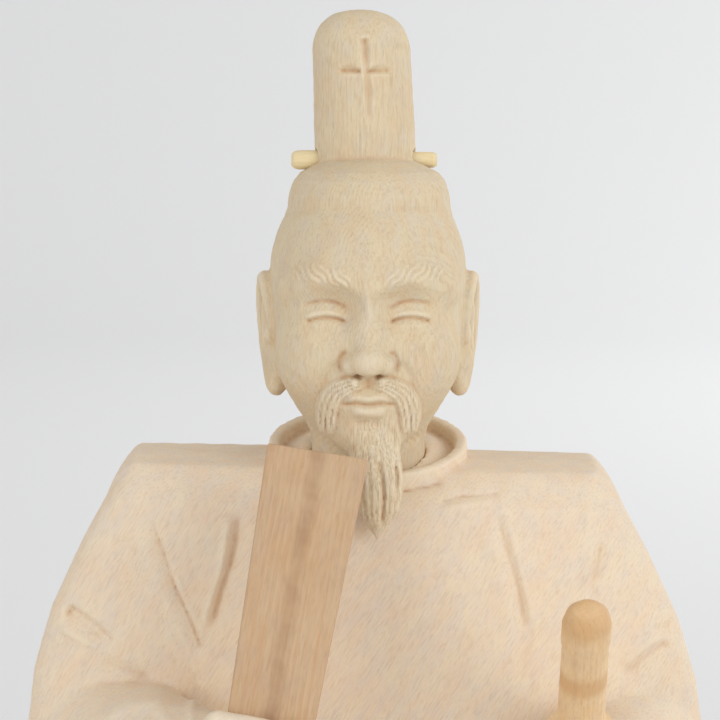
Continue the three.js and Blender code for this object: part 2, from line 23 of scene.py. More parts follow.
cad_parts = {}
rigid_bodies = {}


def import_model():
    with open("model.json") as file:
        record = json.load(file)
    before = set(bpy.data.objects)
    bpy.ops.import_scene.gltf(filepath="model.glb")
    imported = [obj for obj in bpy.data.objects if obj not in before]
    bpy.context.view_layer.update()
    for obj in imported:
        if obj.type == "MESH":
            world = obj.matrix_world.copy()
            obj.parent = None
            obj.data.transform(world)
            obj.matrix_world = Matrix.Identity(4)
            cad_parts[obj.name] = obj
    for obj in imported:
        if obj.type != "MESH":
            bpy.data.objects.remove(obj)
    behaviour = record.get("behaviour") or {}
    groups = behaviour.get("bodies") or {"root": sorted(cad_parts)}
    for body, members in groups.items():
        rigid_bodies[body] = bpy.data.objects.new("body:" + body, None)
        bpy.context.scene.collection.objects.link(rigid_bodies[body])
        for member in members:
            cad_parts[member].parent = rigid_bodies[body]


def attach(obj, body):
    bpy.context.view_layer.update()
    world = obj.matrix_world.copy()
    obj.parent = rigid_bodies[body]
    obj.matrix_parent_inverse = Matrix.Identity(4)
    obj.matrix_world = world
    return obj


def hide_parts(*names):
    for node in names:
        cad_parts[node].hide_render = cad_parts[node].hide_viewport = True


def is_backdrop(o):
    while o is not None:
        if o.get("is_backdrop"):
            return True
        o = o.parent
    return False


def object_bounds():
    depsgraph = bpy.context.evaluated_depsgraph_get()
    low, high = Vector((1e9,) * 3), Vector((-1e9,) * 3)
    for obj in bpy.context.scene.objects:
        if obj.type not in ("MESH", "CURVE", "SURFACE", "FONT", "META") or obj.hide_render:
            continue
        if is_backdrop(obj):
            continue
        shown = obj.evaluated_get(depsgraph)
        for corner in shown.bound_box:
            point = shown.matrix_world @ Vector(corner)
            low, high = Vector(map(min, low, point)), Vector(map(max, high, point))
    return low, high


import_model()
SOLIDS_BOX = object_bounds()

log = logging.getLogger("court_figure")

Spot = tuple[float, float, float]
Pair = tuple[float, float]
Field = Callable[[np.ndarray], np.ndarray]

MM = 0.001
BOARD_HEIGHT = 12.0
EYE_LEVEL = 128.1
HEAD_Y = -2.0
PLAY = 0.3


# Distance fields. A field takes points as an array of three rows, x, y and z in millimetres, and
# gives a distance for each: negative inside the wood, positive outside.


def join(a: np.ndarray, b: np.ndarray, soft: float) -> np.ndarray:
    """Join two shapes, with a fillet where they meet.

    Args:
        a: distances to the first shape.
        b: distances to the second shape.
        soft: width of the fillet.

    Returns:
        Distances to the joined shape.
    """
    blend = np.maximum(soft - np.abs(a - b), 0.0) / soft
    return np.minimum(a, b) - blend * blend * (soft / 4.0)


def cut(a: np.ndarray, b: np.ndarray, soft: float) -> np.ndarray:
    """Cut one shape out of another.

    Args:
        a: distances to the shape that is cut.
        b: distances to the shape that is taken away.
        soft: width by which the new edge is rounded.

    Returns:
        Distances to what is left.
    """
    return -join(-a, b, soft)


def keep(a: np.ndarray, b: np.ndarray, soft: float) -> np.ndarray:
    """Keep only what two shapes have in common.

    Args:
        a: distances to the first shape.
        b: distances to the second shape.
        soft: width by which the new edge is rounded.

    Returns:
        Distances to the common part.
    """
    return -join(-a, -b, soft)


def mirrored(p: np.ndarray) -> np.ndarray:
    """Fold the left half onto the right, so that one shape makes both sides.

    Args:
        p: points.

    Returns:
        The same points with x made positive.
    """
    return np.stack((np.abs(p[0]), p[1], p[2]))


def egg(p: np.ndarray, centre: Spot, radii: Spot) -> np.ndarray:
    """Give the distance to an egg with three radii.

    Args:
        p: points.
        centre: middle of the egg.
        radii: half its width, depth and height.

    Returns:
        Distances.
    """
    px, py, pz = ((p[k] - centre[k]) / radii[k] for k in range(3))
    reach = np.sqrt(px * px + py * py + pz * pz)
    slope = np.sqrt((px / radii[0]) ** 2 + (py / radii[1]) ** 2 + (pz / radii[2]) ** 2)
    return reach * (reach - 1.0) / np.maximum(slope, 1e-6)


def along(p: np.ndarray, a: Spot, b: Spot) -> tuple[np.ndarray, np.ndarray]:
    """Find the nearest place on a straight line between two spots.

    Args:
        p: points.
        a: start of the line.
        b: end of the line.

    Returns:
        The share of the line's length at that place, and the offsets of the points from it.
    """
    start = np.asarray(a, np.float32)[:, None]
    run = np.asarray(b, np.float32)[:, None] - start
    off = p - start
    t = np.clip((run * off).sum(0) / max(float((run * run).sum()), 1e-9), 0.0, 1.0)
    return t, off - run * t


def chain(p: np.ndarray, spots: Iterable[Spot], radii: Iterable[float]) -> np.ndarray:
    """Give the distance to a row of tapered rods with round joints.

    Args:
        p: points.
        spots: the middle of each joint.
        radii: the radius at each joint.

    Returns:
        Distances.
    """
    spots, radii = list(spots), list(radii)
    nearest = np.full(p.shape[1], np.inf, np.float32)
    for i in range(len(spots) - 1):
        t, off = along(p, spots[i], spots[i + 1])
        radius = radii[i] + (radii[i + 1] - radii[i]) * t
        nearest = np.minimum(nearest, np.sqrt((off * off).sum(0)) - radius)
    return nearest


def outline(u: np.ndarray, v: np.ndarray, corners: Iterable[Pair]) -> np.ndarray:
    """Give the signed distance in a plane to a closed outline of straight edges.

    Args:
        u: first coordinate of the points.
        v: second coordinate of the points.
        corners: corners of the outline, in order.

    Returns:
        Distances, negative inside the outline.
    """
    corners = list(corners)
    nearest = np.full(u.shape, np.inf, np.float32)
    inside = np.zeros(u.shape, bool)
    for (bx, by), (ax, ay) in zip(corners, corners[1:] + corners[:1]):
        ex, ey = bx - ax, by - ay
        t = np.clip(((u - ax) * ex + (v - ay) * ey) / (ex * ex + ey * ey), 0.0, 1.0)
        nearest = np.minimum(nearest, (u - ax - t * ex) ** 2 + (v - ay - t * ey) ** 2)
        if ey:
            inside ^= ((ay > v) != (by > v)) & (u < ax + ex * (v - ay) / ey)
    return np.where(inside, -1.0, 1.0).astype(np.float32) * np.sqrt(nearest)


def panel(p: np.ndarray, a: Spot, b: Spot, c: Spot) -> np.ndarray:
    """Give the distance to a flat triangle, for cloth that hangs as a slab.

    Args:
        p: points.
        a: first corner.
        b: second corner.
        c: third corner.

    Returns:
        Distances, nowhere negative.
    """
    corners = [np.asarray(spot, np.float32) for spot in (a, b, c)]
    normal = np.cross(corners[1] - corners[0], corners[2] - corners[0])
    nearest = np.full(p.shape[1], np.inf, np.float32)
    beyond = np.zeros(p.shape[1], bool)
    for start, end in zip(corners, corners[1:] + corners[:1]):
        nearest = np.minimum(nearest, (along(p, start, end)[1] ** 2).sum(0))
        beyond |= np.cross(end - start, normal) @ (p - start[:, None]) > 0
    flat = (normal @ (p - corners[0][:, None])) ** 2 / float(normal @ normal)
    return np.sqrt(np.where(beyond, nearest, flat))


def smoothed(spots: Iterable[tuple[float, ...]], parts: int = 4) -> np.ndarray:
    """Lay a smooth line through a row of spots.

    Args:
        spots: the spots.
        parts: number of pieces between one spot and the next.

    Returns:
        One row for each point of the line.
    """
    knots = np.asarray(list(spots), np.float32)
    if len(knots) < 3:
        return knots
    padded = np.vstack((2 * knots[0] - knots[1], knots, 2 * knots[-1] - knots[-2]))
    line = []
    for before, start, end, after in zip(padded, padded[1:], padded[2:], padded[3:]):
        for t in np.arange(parts) / parts:
            bend = (2 * before - 5 * start + 4 * end - after) * t + (3 * (start - end) + after - before) * t * t
            line.append(start + 0.5 * t * ((end - before) + bend))
    line.append(knots[-1])
    return np.asarray(line, np.float32)


def eased(value: np.ndarray) -> np.ndarray:
    """Rise smoothly from 0 to 1 as the value goes from 0 to 1."""
    t = np.clip(value, 0.0, 1.0)
    return t * t * (3.0 - 2.0 * t)


@dataclass(frozen=True)
class Stroke:
    """A raised or sunk line, drawn on the front or laid through space.

    Attributes:
        spots: places that it runs through: x and z if it is drawn on the front, or x, y and z.
        rise: height of its crest, negative for a groove.
        spread: half its width.
        fade: share of its length over which it dies away at its start and at its end.
        side: the side that a flat drawing works on, -1 for the front and 1 for the back.
    """

    spots: tuple[tuple[float, ...], ...]
    rise: float
    spread: float
    fade: Pair = (0.25, 0.25)
    side: float = -1.0

    def height(self, p: np.ndarray) -> np.ndarray:
        """Give how far the line lifts the surface.

        Args:
            p: points.

        Returns:
            Heights, zero away from the line.
        """
        line = smoothed(self.spots)
        place_of = p if line.shape[1] == 3 else p[::2]
        margin = 2.5 * self.spread
        low, high = line.min(0)[:, None] - margin, line.max(0)[:, None] + margin
        near = ((place_of > low) & (place_of < high)).all(0)
        if line.shape[1] == 2:
            near &= p[1] * self.side > 0
        height = np.zeros(p.shape[1], np.float32)
        if not near.any():
            return height
        q = place_of[:, near]
        square = np.full(q.shape[1], np.inf, np.float32)
        place = np.zeros(q.shape[1], np.float32)
        for i in range(len(line) - 1):
            t, off = along(q, line[i], line[i + 1])
            gap = (off * off).sum(0)
            nearer = gap < square
            square = np.where(nearer, gap, square)
            place = np.where(nearer, (i + t) / (len(line) - 1), place)
        lift = self.rise * np.exp(-square / self.spread**2)
        for share, end in zip(self.fade, (place, 1.0 - place)):
            if share:
                lift = lift * eased(end / share)
        if line.shape[1] == 2:
            lift = lift * eased(p[1, near] * self.side / 5.0)
        height[near] = lift
        return height


@dataclass(frozen=True)
class Lock:
    """A flat lock of carved hair that lies on the front of a face.

    Attributes:
        spots: x and z of the places that it runs through, root first.
        widths: half its width at each place.
        rise: how far it stands out.
        strands: number of strands across it.
        depth: depth of the grooves between them.
    """

    spots: tuple[Pair, ...]
    widths: tuple[float, ...]
    rise: float
    strands: float
    depth: float

    def height(self, p: np.ndarray) -> np.ndarray:
        """Give how far the lock lifts the surface.

        Args:
            p: points.

        Returns:
            Heights, zero away from the lock.
        """
        line = smoothed([(x, z, width) for (x, z), width in zip(self.spots, self.widths)], 5)
        margin = 1.6 * max(self.widths)
        q = p[::2]
        low, high = line[:, :2].min(0)[:, None] - margin, line[:, :2].max(0)[:, None] + margin
        near = ((q > low) & (q < high)).all(0) & (p[1] < 0)
        height = np.zeros(p.shape[1], np.float32)
        if not near.any():
            return height
        q = q[:, near]
        nearest = np.full(q.shape[1], np.inf, np.float32)
        across = np.zeros(q.shape[1], np.float32)
        place = np.zeros(q.shape[1], np.float32)
        for i in range(len(line) - 1):
            t, off = along(q, line[i, :2], line[i + 1, :2])
            width = line[i, 2] + (line[i + 1, 2] - line[i, 2]) * t
            run = line[i + 1, :2] - line[i, :2]
            side = (off[0] * run[1] - off[1] * run[0]) / max(float(np.hypot(*run)), 1e-6)
            gap = np.hypot(off[0], off[1]) / width
            nearer = gap < nearest
            nearest = np.where(nearer, gap, nearest)
            across = np.where(nearer, side / width, across)
            place = np.where(nearer, (i + t) / (len(line) - 1), place)
        body = np.clip(1.0 - nearest**2, 0.0, 1.0) ** 0.55
        wave = 0.8 * np.sin(7.0 * place + 0.6) + 0.3 * np.sin(17.0 * place)
        groove = (0.5 + 0.5 * np.cos(math.pi * self.strands * across + wave)) ** 2.5
        ends = eased(place / 0.12) * eased((1.0 - place) / 0.2)
        height[near] = (self.rise - self.depth * groove) * body * ends
        return height


def lifted(d: np.ndarray, p: np.ndarray, strokes: Iterable[Stroke]) -> np.ndarray:
    """Lift and sink a surface along lines.

    Args:
        d: distances to the plain surface.
        p: points.
        strokes: the lines.

    Returns:
        Distances to the worked surface.
    """
    for stroke in strokes:
        d = d - stroke.height(p)
    return d


def near_to(
    p: np.ndarray, d: np.ndarray, low: Spot, high: Spot, reach: float, work: Field
) -> np.ndarray:
    """Work a small shape into a larger one only where the two can touch.

    Args:
        p: points.
        d: distances to the larger shape.
        low: lowest corner of the small shape's box.
        high: highest corner of the small shape's box.
        reach: how far outside its box the small shape has any effect.
        work: takes points and the distances there, and gives the new distances.

    Returns:
        Distances to the larger shape with the small one in it.
    """
    low_corner = np.asarray(low, np.float32)[:, None]
    high_corner = np.asarray(high, np.float32)[:, None]
    gap = np.sqrt((np.maximum(np.maximum(low_corner - p, p - high_corner), 0.0) ** 2).sum(0))
    near = gap < reach
    made = np.where(near, d, np.minimum(d, gap)).astype(np.float32)
    if near.any():
        made[near] = work(p[:, near], d[near])
    return made


def free_lock(
    p: np.ndarray,
    spots: Iterable[Spot],
    radii: Iterable[float],
    strands: float,
    depth: float,
    squash: float = 1.0,
) -> np.ndarray:
    """Give the distance to a lock of carved hair that hangs free, grooved along its length.

    Args:
        p: points.
        spots: places that the lock runs through, root first.
        radii: its radius at each place.
        strands: number of strands across it.
        depth: depth of the grooves between them.
        squash: its depth from front to back as a share of its width.

    Returns:
        Distances.
    """
    line = smoothed([(*spot, radius) for spot, radius in zip(spots, radii)], 3)
    nearest = np.full(p.shape[1], np.inf, np.float32)
    across = np.zeros(p.shape[1], np.float32)
    place = np.zeros(p.shape[1], np.float32)
    for i in range(len(line) - 1):
        t, off = along(p, line[i, :3], line[i + 1, :3])
        radius = line[i, 3] + (line[i + 1, 3] - line[i, 3]) * t
        gap = np.sqrt(off[0] ** 2 + (off[1] / squash) ** 2 + off[2] ** 2) - radius
        dx, _, dz, _ = line[i + 1] - line[i]
        side = (off[0] * dz - off[2] * dx) / max(math.hypot(dx, dz), 1e-6)
        nearer = gap < nearest
        nearest = np.where(nearer, gap, nearest)
        across = np.where(nearer, side / np.maximum(radius, 0.6), across)
        place = np.where(nearer, (i + t) / (len(line) - 1), place)
    wave = 0.9 * np.sin(7.5 * place + 0.6) + 0.35 * np.sin(17.0 * place)
    groove = (0.5 + 0.5 * np.cos(math.pi * strands * across + wave)) ** 2.5
    taper = np.clip((1.0 - place) * 5.0, 0.1, 1.0)
    return nearest * min(1.0, 0.5 + 0.5 * squash) + depth * groove * taper


def hand_cut(p: np.ndarray) -> np.ndarray:
    """Give the slight unevenness that a knife leaves on wood.

    Args:
        p: points.

    Returns:
        Heights of about a tenth of a millimetre.
    """
    x, y, z = p
    broad = np.sin(1.05 * x + 0.9 * z + 1.3 * np.sin(0.31 * z + 0.2 * y)) * np.sin(0.8 * z - 0.95 * y + 0.4)
    fine = np.sin(2.7 * x - 1.9 * z + 1.7 * np.sin(0.9 * y)) * np.sin(2.3 * z + 2.9 * y + 1.1)
    return 0.055 * broad + 0.025 * fine


@dataclass(frozen=True)
class Carver:
    """Turns a distance field into a mesh.

    Attributes:
        low: lowest corner of the block of wood.
        high: highest corner of the block.
        step: size of the grid.
        most: most triangles that the mesh may have.
    """

    low: Spot
    high: Spot
    step: float
    most: int

    def sample(self, shape: Field) -> np.ndarray:
        """Measure a field on the grid, closely only where the surface can be.

        Args:
            shape: the field.

        Returns:
            Distances on the grid.
        """
        low = np.asarray(self.low, np.float32)[:, None]
        span = (np.asarray(self.high) - np.asarray(self.low)) / self.step
        blocks = np.ceil(span / 16).astype(int)
        grid = np.empty(tuple(blocks * 16), np.float32)
        corners = np.indices(blocks).reshape(3, -1) * 16
        for size, slope in ((16, 1.25), (8, 1.35), (4, 1.6)):
            value = self.measure(shape, low + (corners + (size - 1) / 2) * self.step)
            limit = slope * (size + 1) * self.step * math.sqrt(3) / 2
            far = np.abs(value) > limit
            view = grid.reshape([n for count in grid.shape for n in (count // size, size)])
            i, j, k = corners[:, far] // size
            view[i, :, j, :, k, :] = (np.sign(value[far]) * limit)[:, None, None, None]
            corners = corners[:, ~far]
            if size > 4:
                half = size // 2
                inner = np.indices((2, 2, 2)).reshape(3, -1) * half
                corners = (corners[:, :, None] + inner[:, None, :]).reshape(3, -1)
        inner = np.indices((4, 4, 4)).reshape(3, -1)
        places = (corners[:, :, None] + inner[:, None, :]).reshape(3, -1)
        grid[tuple(places)] = self.measure(shape, low + places * self.step)
        return grid

    def measure(self, shape: Field, points: np.ndarray) -> np.ndarray:
        """Measure a field at many points, a part at a time.

        Args:
            shape: the field.
            points: the points.

        Returns:
            Distances.
        """
        points = np.ascontiguousarray(points, np.float32)
        parts = np.array_split(points, max(1, points.shape[1] // 60000), axis=1)
        with ThreadPoolExecutor(4) as pool:
            return np.concatenate(list(pool.map(shape, parts))).astype(np.float32)

    def dished(self, grid: np.ndarray, reach: float) -> np.ndarray:
        """Average the distances round each place of the grid, which tells hollows from ridges.

        Args:
            grid: the distances.
            reach: how far round the place they are averaged, in millimetres.

        Returns:
            The averages: negative in a hollow of the surface, positive on a ridge.
        """
        count = max(1, round(reach / self.step))
        mean = np.clip(grid, -reach, reach)
        for _ in range(3):
            padded = np.pad(mean, ((count + 1, count), (0, 0), (0, 0)), mode="edge")
            sums = np.cumsum(padded, axis=0, dtype=np.float64)
            mean = ((sums[2 * count + 1 :] - sums[: len(mean)]) / (2 * count + 1)).astype(np.float32)
            mean = mean.transpose(1, 2, 0)
        return mean

    def read(self, grid: np.ndarray, spots: np.ndarray) -> np.ndarray:
        """Read the grid between its places.

        Args:
            grid: the values.
            spots: where to read, in steps of the grid.

        Returns:
            One value for each spot.
        """
        base = np.floor(spots).astype(int)
        share = spots - base
        value = np.zeros(spots.shape[1], np.float32)
        for corner in np.ndindex(2, 2, 2):
            i, j, k = base + np.array(corner)[:, None]
            weight = np.abs(1.0 - np.array(corner)[:, None] - share).prod(0)
            value += (weight * grid[i, j, k]).astype(np.float32)
        return value

    def carve(self, name: str, shape: Field, place: Spot, hair: Field | None = None) -> bpy.types.Object:
        """Make an object whose surface is where a field is zero.

        Args:
            name: name of the object.
            shape: the field, in its own frame.
            place: where that frame's origin stands in the model, in millimetres.
            hair: gives the share of carved hair at a point, if there is any.

        Returns:
            The object, with an attribute `hollow` that goes from 1 in the deepest grooves to -1
            on the sharpest ridges, and an attribute `hair`.
        """
        sampled = self.sample(shape)
        grid = openvdb.FloatGrid(100.0)
        grid.copyFromArray(sampled, tolerance=0.0)
        spots, quads = grid.convertToQuads(0.0)
        spots = spots * np.float32(self.step) + np.asarray(self.low, np.float32)
        piece = mesh_object(name, spots, quads)
        if 2 * len(quads) > self.most:
            thin = piece.modifiers.new("Thin", "DECIMATE")
            thin.ratio = self.most / (2 * len(quads))
            apply_modifiers(piece)
        drop_crumbs(piece)
        mesh = piece.data
        count = len(mesh.vertices)
        rows = np.empty(count * 3, np.float32)
        mesh.vertices.foreach_get("co", rows)
        points = np.ascontiguousarray(rows.reshape(-1, 3).T)
        spots = (points - np.asarray(self.low, np.float32)[:, None]) / self.step
        # The hollowness lays painted shade in grooves and painted highlight on ridges in the material.
        close, wide = (self.read(self.dished(sampled, reach), spots) for reach in (0.7, 2.1))
        marks = {"hollow": np.clip(-2.2 * close - 0.45 * wide, -1, 1)}
        if hair:
            marks["hair"] = hair(points)
        for mark, values in marks.items():
            mesh.attributes.new(mark, "FLOAT", "POINT").data.foreach_set("value", values.astype(np.float32))
        mesh.transform(Matrix.Translation(Vector(place) * MM) @ Matrix.Scale(MM, 4))
        mesh.update()
        return piece


# Blender helpers


def mesh_object(name: str, spots: np.ndarray, quads: np.ndarray) -> bpy.types.Object:
    """Make an object from arrays of vertices and four-sided faces.

    Args:
        name: name of the object and its mesh.
        spots: one row for each vertex.
        quads: one row of four vertex numbers for each face.

    Returns:
        The object, linked into the scene.
    """
    mesh = bpy.data.meshes.new(name)
    mesh.vertices.add(len(spots))
    mesh.vertices.foreach_set("co", np.ascontiguousarray(spots, np.float32).ravel())
    mesh.loops.add(4 * len(quads))
    mesh.loops.foreach_set("vertex_index", np.ascontiguousarray(quads, np.int32).ravel())
    mesh.polygons.add(len(quads))
    mesh.polygons.foreach_set("loop_start", np.arange(0, 4 * len(quads), 4, dtype=np.int32))
    mesh.update(calc_edges=True)
    mesh.validate()
    piece = bpy.data.objects.new(name, mesh)
    bpy.context.scene.collection.objects.link(piece)
    return piece


def only(piece: bpy.types.Object) -> None:
    """Select one object and make it the active one.

    Args:
        piece: the object.
    """
    bpy.ops.object.select_all(action="DESELECT")
    piece.select_set(True)
    bpy.context.view_layer.objects.active = piece


def apply_modifiers(piece: bpy.types.Object) -> None:
    """Apply an object's modifiers in order.

    Args:
        piece: the object.
    """
    only(piece)
    for name in [modifier.name for modifier in piece.modifiers]:
        bpy.ops.object.modifier_apply(modifier=name)


def drop_crumbs(piece: bpy.types.Object) -> None:
    """Delete whatever doesn't hang together with a piece's highest point.

    Args:
        piece: the piece.
    """
    only(piece)
    bpy.ops.object.mode_set(mode="EDIT")
    bpy.ops.mesh.select_mode(type="VERT")
    bpy.ops.mesh.select_all(action="DESELECT")
    shape = bmesh.from_edit_mesh(piece.data)
    max(shape.verts, key=lambda vertex: vertex.co.z).select_set(True)
    bmesh.update_edit_mesh(piece.data)
    bpy.ops.mesh.select_linked()
    bpy.ops.mesh.select_all(action="INVERT")
    bpy.ops.mesh.delete(type="VERT")
    bpy.ops.object.mode_set(mode="OBJECT")


def choose(piece: bpy.types.Object, wanted: Callable[[Vector], bool], kind: str = "FACE") -> None:
    """Select faces or edges by the place of their middle, in edit mode.

    Args:
        piece: the object that is being edited.
        wanted: takes a middle and says whether it is selected.
        kind: FACE or EDGE.
    """
    bpy.ops.mesh.select_mode(type=kind)
    bpy.ops.mesh.select_all(action="DESELECT")
    shape = bmesh.from_edit_mesh(piece.data)
    for element in shape.faces if kind == "FACE" else shape.edges:
        middle = sum((vertex.co for vertex in element.verts), Vector()) / len(element.verts)
        if wanted(middle):
            element.select_set(True)
    shape.select_flush_mode()
    bmesh.update_edit_mesh(piece.data)


def settle(piece: bpy.types.Object, place: Matrix, angle: float) -> None:
    """Put a finished piece in its place, in its mesh, and shade it.

    Args:
        piece: the piece, modelled in millimetres in its own frame.
        place: that frame's place in the model, in millimetres.
        angle: edges sharper than this many degrees stay sharp.
    """
    only(piece)
    bpy.ops.object.transform_apply(location=True, rotation=True, scale=True)
    piece.data.transform(Matrix.Scale(MM, 4) @ place)
    bpy.ops.object.mode_set(mode="EDIT")
    bpy.ops.mesh.select_all(action="SELECT")
    bpy.ops.mesh.remove_doubles(threshold=1e-7)
    bpy.ops.mesh.normals_make_consistent(inside=False)
    bpy.ops.object.mode_set(mode="OBJECT")
    bpy.ops.object.shade_smooth_by_angle(angle=math.radians(angle))


def frame_of(foot: Spot, top: Spot) -> Matrix:
    """Give a straight piece's own frame: Z from foot to top, X level, Y across its thickness.

    Args:
        foot: where the piece starts, in the figure's frame.
        top: where it ends.

    Returns:
        The frame's place in the figure's frame.
    """
    z = (Vector(top) - Vector(foot)).normalized()
    level = Vector((1, 0, 0)) if abs(z.x) < 0.9 else Vector((0, 1, 0))
    x = (level - z * z.dot(level)).normalized()
    y = z.cross(x)
    turn = Matrix((x, y, z)).transposed().to_4x4()
    return Matrix.Translation(Vector(foot)) @ turn


def into(place: Matrix, p: np.ndarray) -> np.ndarray:
    """Carry points of the figure's frame into a piece's own frame.

    Args:
        place: the piece's frame.
        p: points.

    Returns:
        The points in the piece's frame.
    """
    back = np.asarray(place.inverted(), np.float32)
    return back[:3, :3] @ p + back[:3, 3:4]


# The wood


class Link:
    """One output of a material's nodes, for use in Python arithmetic."""

    def __init__(self, graph: "Graph", socket: bpy.types.NodeSocket) -> None:
        """Keep the socket and the graph that it is in."""
        self.graph = graph
        self.socket = socket

    def math(self, operation: str, *values: "Link | float") -> "Link":
        """Add a Math node.

        Args:
            operation: what it works out.
            values: its inputs.

        Returns:
            Its result.
        """
        return self.graph.add("ShaderNodeMath", {"operation": operation}, dict(enumerate(values)))

    def __add__(self, other: "Link | float") -> "Link":
        """Add two values."""
        return self.math("ADD", self, other)

    def __radd__(self, other: "Link | float") -> "Link":
        """Add two values."""
        return self.math("ADD", other, self)

    def __sub__(self, other: "Link | float") -> "Link":
        """Take one value from another."""
        return self.math("SUBTRACT", self, other)

    def __rsub__(self, other: "Link | float") -> "Link":
        """Take one value from another."""
        return self.math("SUBTRACT", other, self)

    def __mul__(self, other: "Link | float") -> "Link":
        """Multiply two values."""
        return self.math("MULTIPLY", self, other)

    def __rmul__(self, other: "Link | float") -> "Link":
        """Multiply two values."""
        return self.math("MULTIPLY", other, self)

    def __truediv__(self, other: "Link | float") -> "Link":
        """Divide one value by another."""
        return self.math("DIVIDE", self, other)

    def __pow__(self, other: "Link | float") -> "Link":
        """Raise one value to the power of another."""
        return self.math("POWER", self, other)

    def fract(self) -> "Link":
        """Keep what comes after the decimal point."""
        return self.math("FRACT", self)

    def absolute(self) -> "Link":
        """Drop the sign."""
        return self.math("ABSOLUTE", self)

    def between(self, low: float, high: float) -> "Link":
        """Rise smoothly from 0 to 1 as the value goes from low to high.

        Args:
            low: value that gives 0.
            high: value that gives 1.

        Returns:
            The share.
        """
        settings = {"interpolation_type": "SMOOTHSTEP"}
        return self.graph.add("ShaderNodeMapRange", settings, {0: self, 1: low, 2: high})


class Graph:
    """The node tree of one material."""

    def __init__(self, name: str) -> None:
        """Make the material with an empty tree."""
        self.material = bpy.data.materials.new(name)
        self.material.use_nodes = True
        self.tree = self.material.node_tree
        self.tree.nodes.clear()

    def add(
        self, kind: str, settings: dict[str, object], inputs: dict[int | str, object], output: int | str = 0
    ) -> Link:
        """Add any node.

        Args:
            kind: the node's type.
            settings: its settings, which are set first.
            inputs: the values or links of its sockets, by number or name.
            output: the socket that is given back.

        Returns:
            That socket.
        """
        node = self.tree.nodes.new(kind)
        for key, value in settings.items():
            setattr(node, key, value)
        for key, value in inputs.items():
            if isinstance(value, Link):
                self.tree.links.new(value.socket, node.inputs[key])
            else:
                node.inputs[key].default_value = value
        return Link(self, node.outputs[output])

    def finished(self, shader: Link) -> bpy.types.Material:
        """Join the shader to the material's output.

        Args:
            shader: the shader.

        Returns:
            The material.
        """
        output = self.tree.nodes.new("ShaderNodeOutputMaterial")
        self.tree.links.new(shader.socket, output.inputs["Surface"])
        return self.material

    def mix(self, share: "Link | float", first: object, second: object) -> Link:
        """Mix two colours.

        Args:
            share: how much of the second one there is.
            first: a colour or a link.
            second: a colour or a link.

        Returns:
            The mixed colour.
        """
        return self.add("ShaderNodeMix", {"data_type": "RGBA"}, {0: share, 6: first, 7: second}, 2)

    def noise(self, place: Link, scale: float, detail: float = 2.0) -> Link:
        """Give smooth noise about a mean of one half.

        Args:
            place: where it is read.
            scale: cells in one unit of the place.
            detail: layers of finer noise.

        Returns:
            The noise.
        """
        return self.add("ShaderNodeTexNoise", {}, {"Vector": place, "Scale": scale, "Detail": detail})

    def stretched(self, place: Link, shares: Spot) -> Link:
        """Scale a place along its three axes.

        Args:
            place: the place.
            shares: the scale along each axis.

        Returns:
            The scaled place.
        """
        return self.add("ShaderNodeVectorMath", {"operation": "MULTIPLY"}, {0: place, 1: shares})

    def split(self, place: Link) -> tuple[Link, Link, Link]:
        """Take a place apart.

        Args:
            place: the place.

        Returns:
            Its x, y and z.
        """
        first = self.add("ShaderNodeSeparateXYZ", {}, {0: place})
        return first, Link(self, first.socket.node.outputs[1]), Link(self, first.socket.node.outputs[2])


class Shine(Enum):
    """How much a wood's surface has been rubbed."""

    RAW = 0.78
    HANDLED = 0.62
    WAXED = 0.5


def rgb(code: str) -> tuple[float, float, float, float]:
    """Turn a colour code of six hexadecimal digits into a linear colour.

    Args:
        code: the code.

    Returns:
        Red, green, blue and an alpha of 1.
    """
    parts = [int(code[i : i + 2], 16) / 255 for i in (0, 2, 4)]
    red, green, blue = (c / 12.92 if c <= 0.04045 else ((c + 0.055) / 1.055) ** 2.4 for c in parts)
    return red, green, blue, 1.0


@dataclass(frozen=True)
class Tones:
    """The three pale colours that a wood drifts between.

    Attributes:
        plain: most of the surface.
        warm: patches with more of the late wood in them.
        cool: patches that were cut across the fibres and scatter more light.
    """

    plain: str
    warm: str
    cool: str


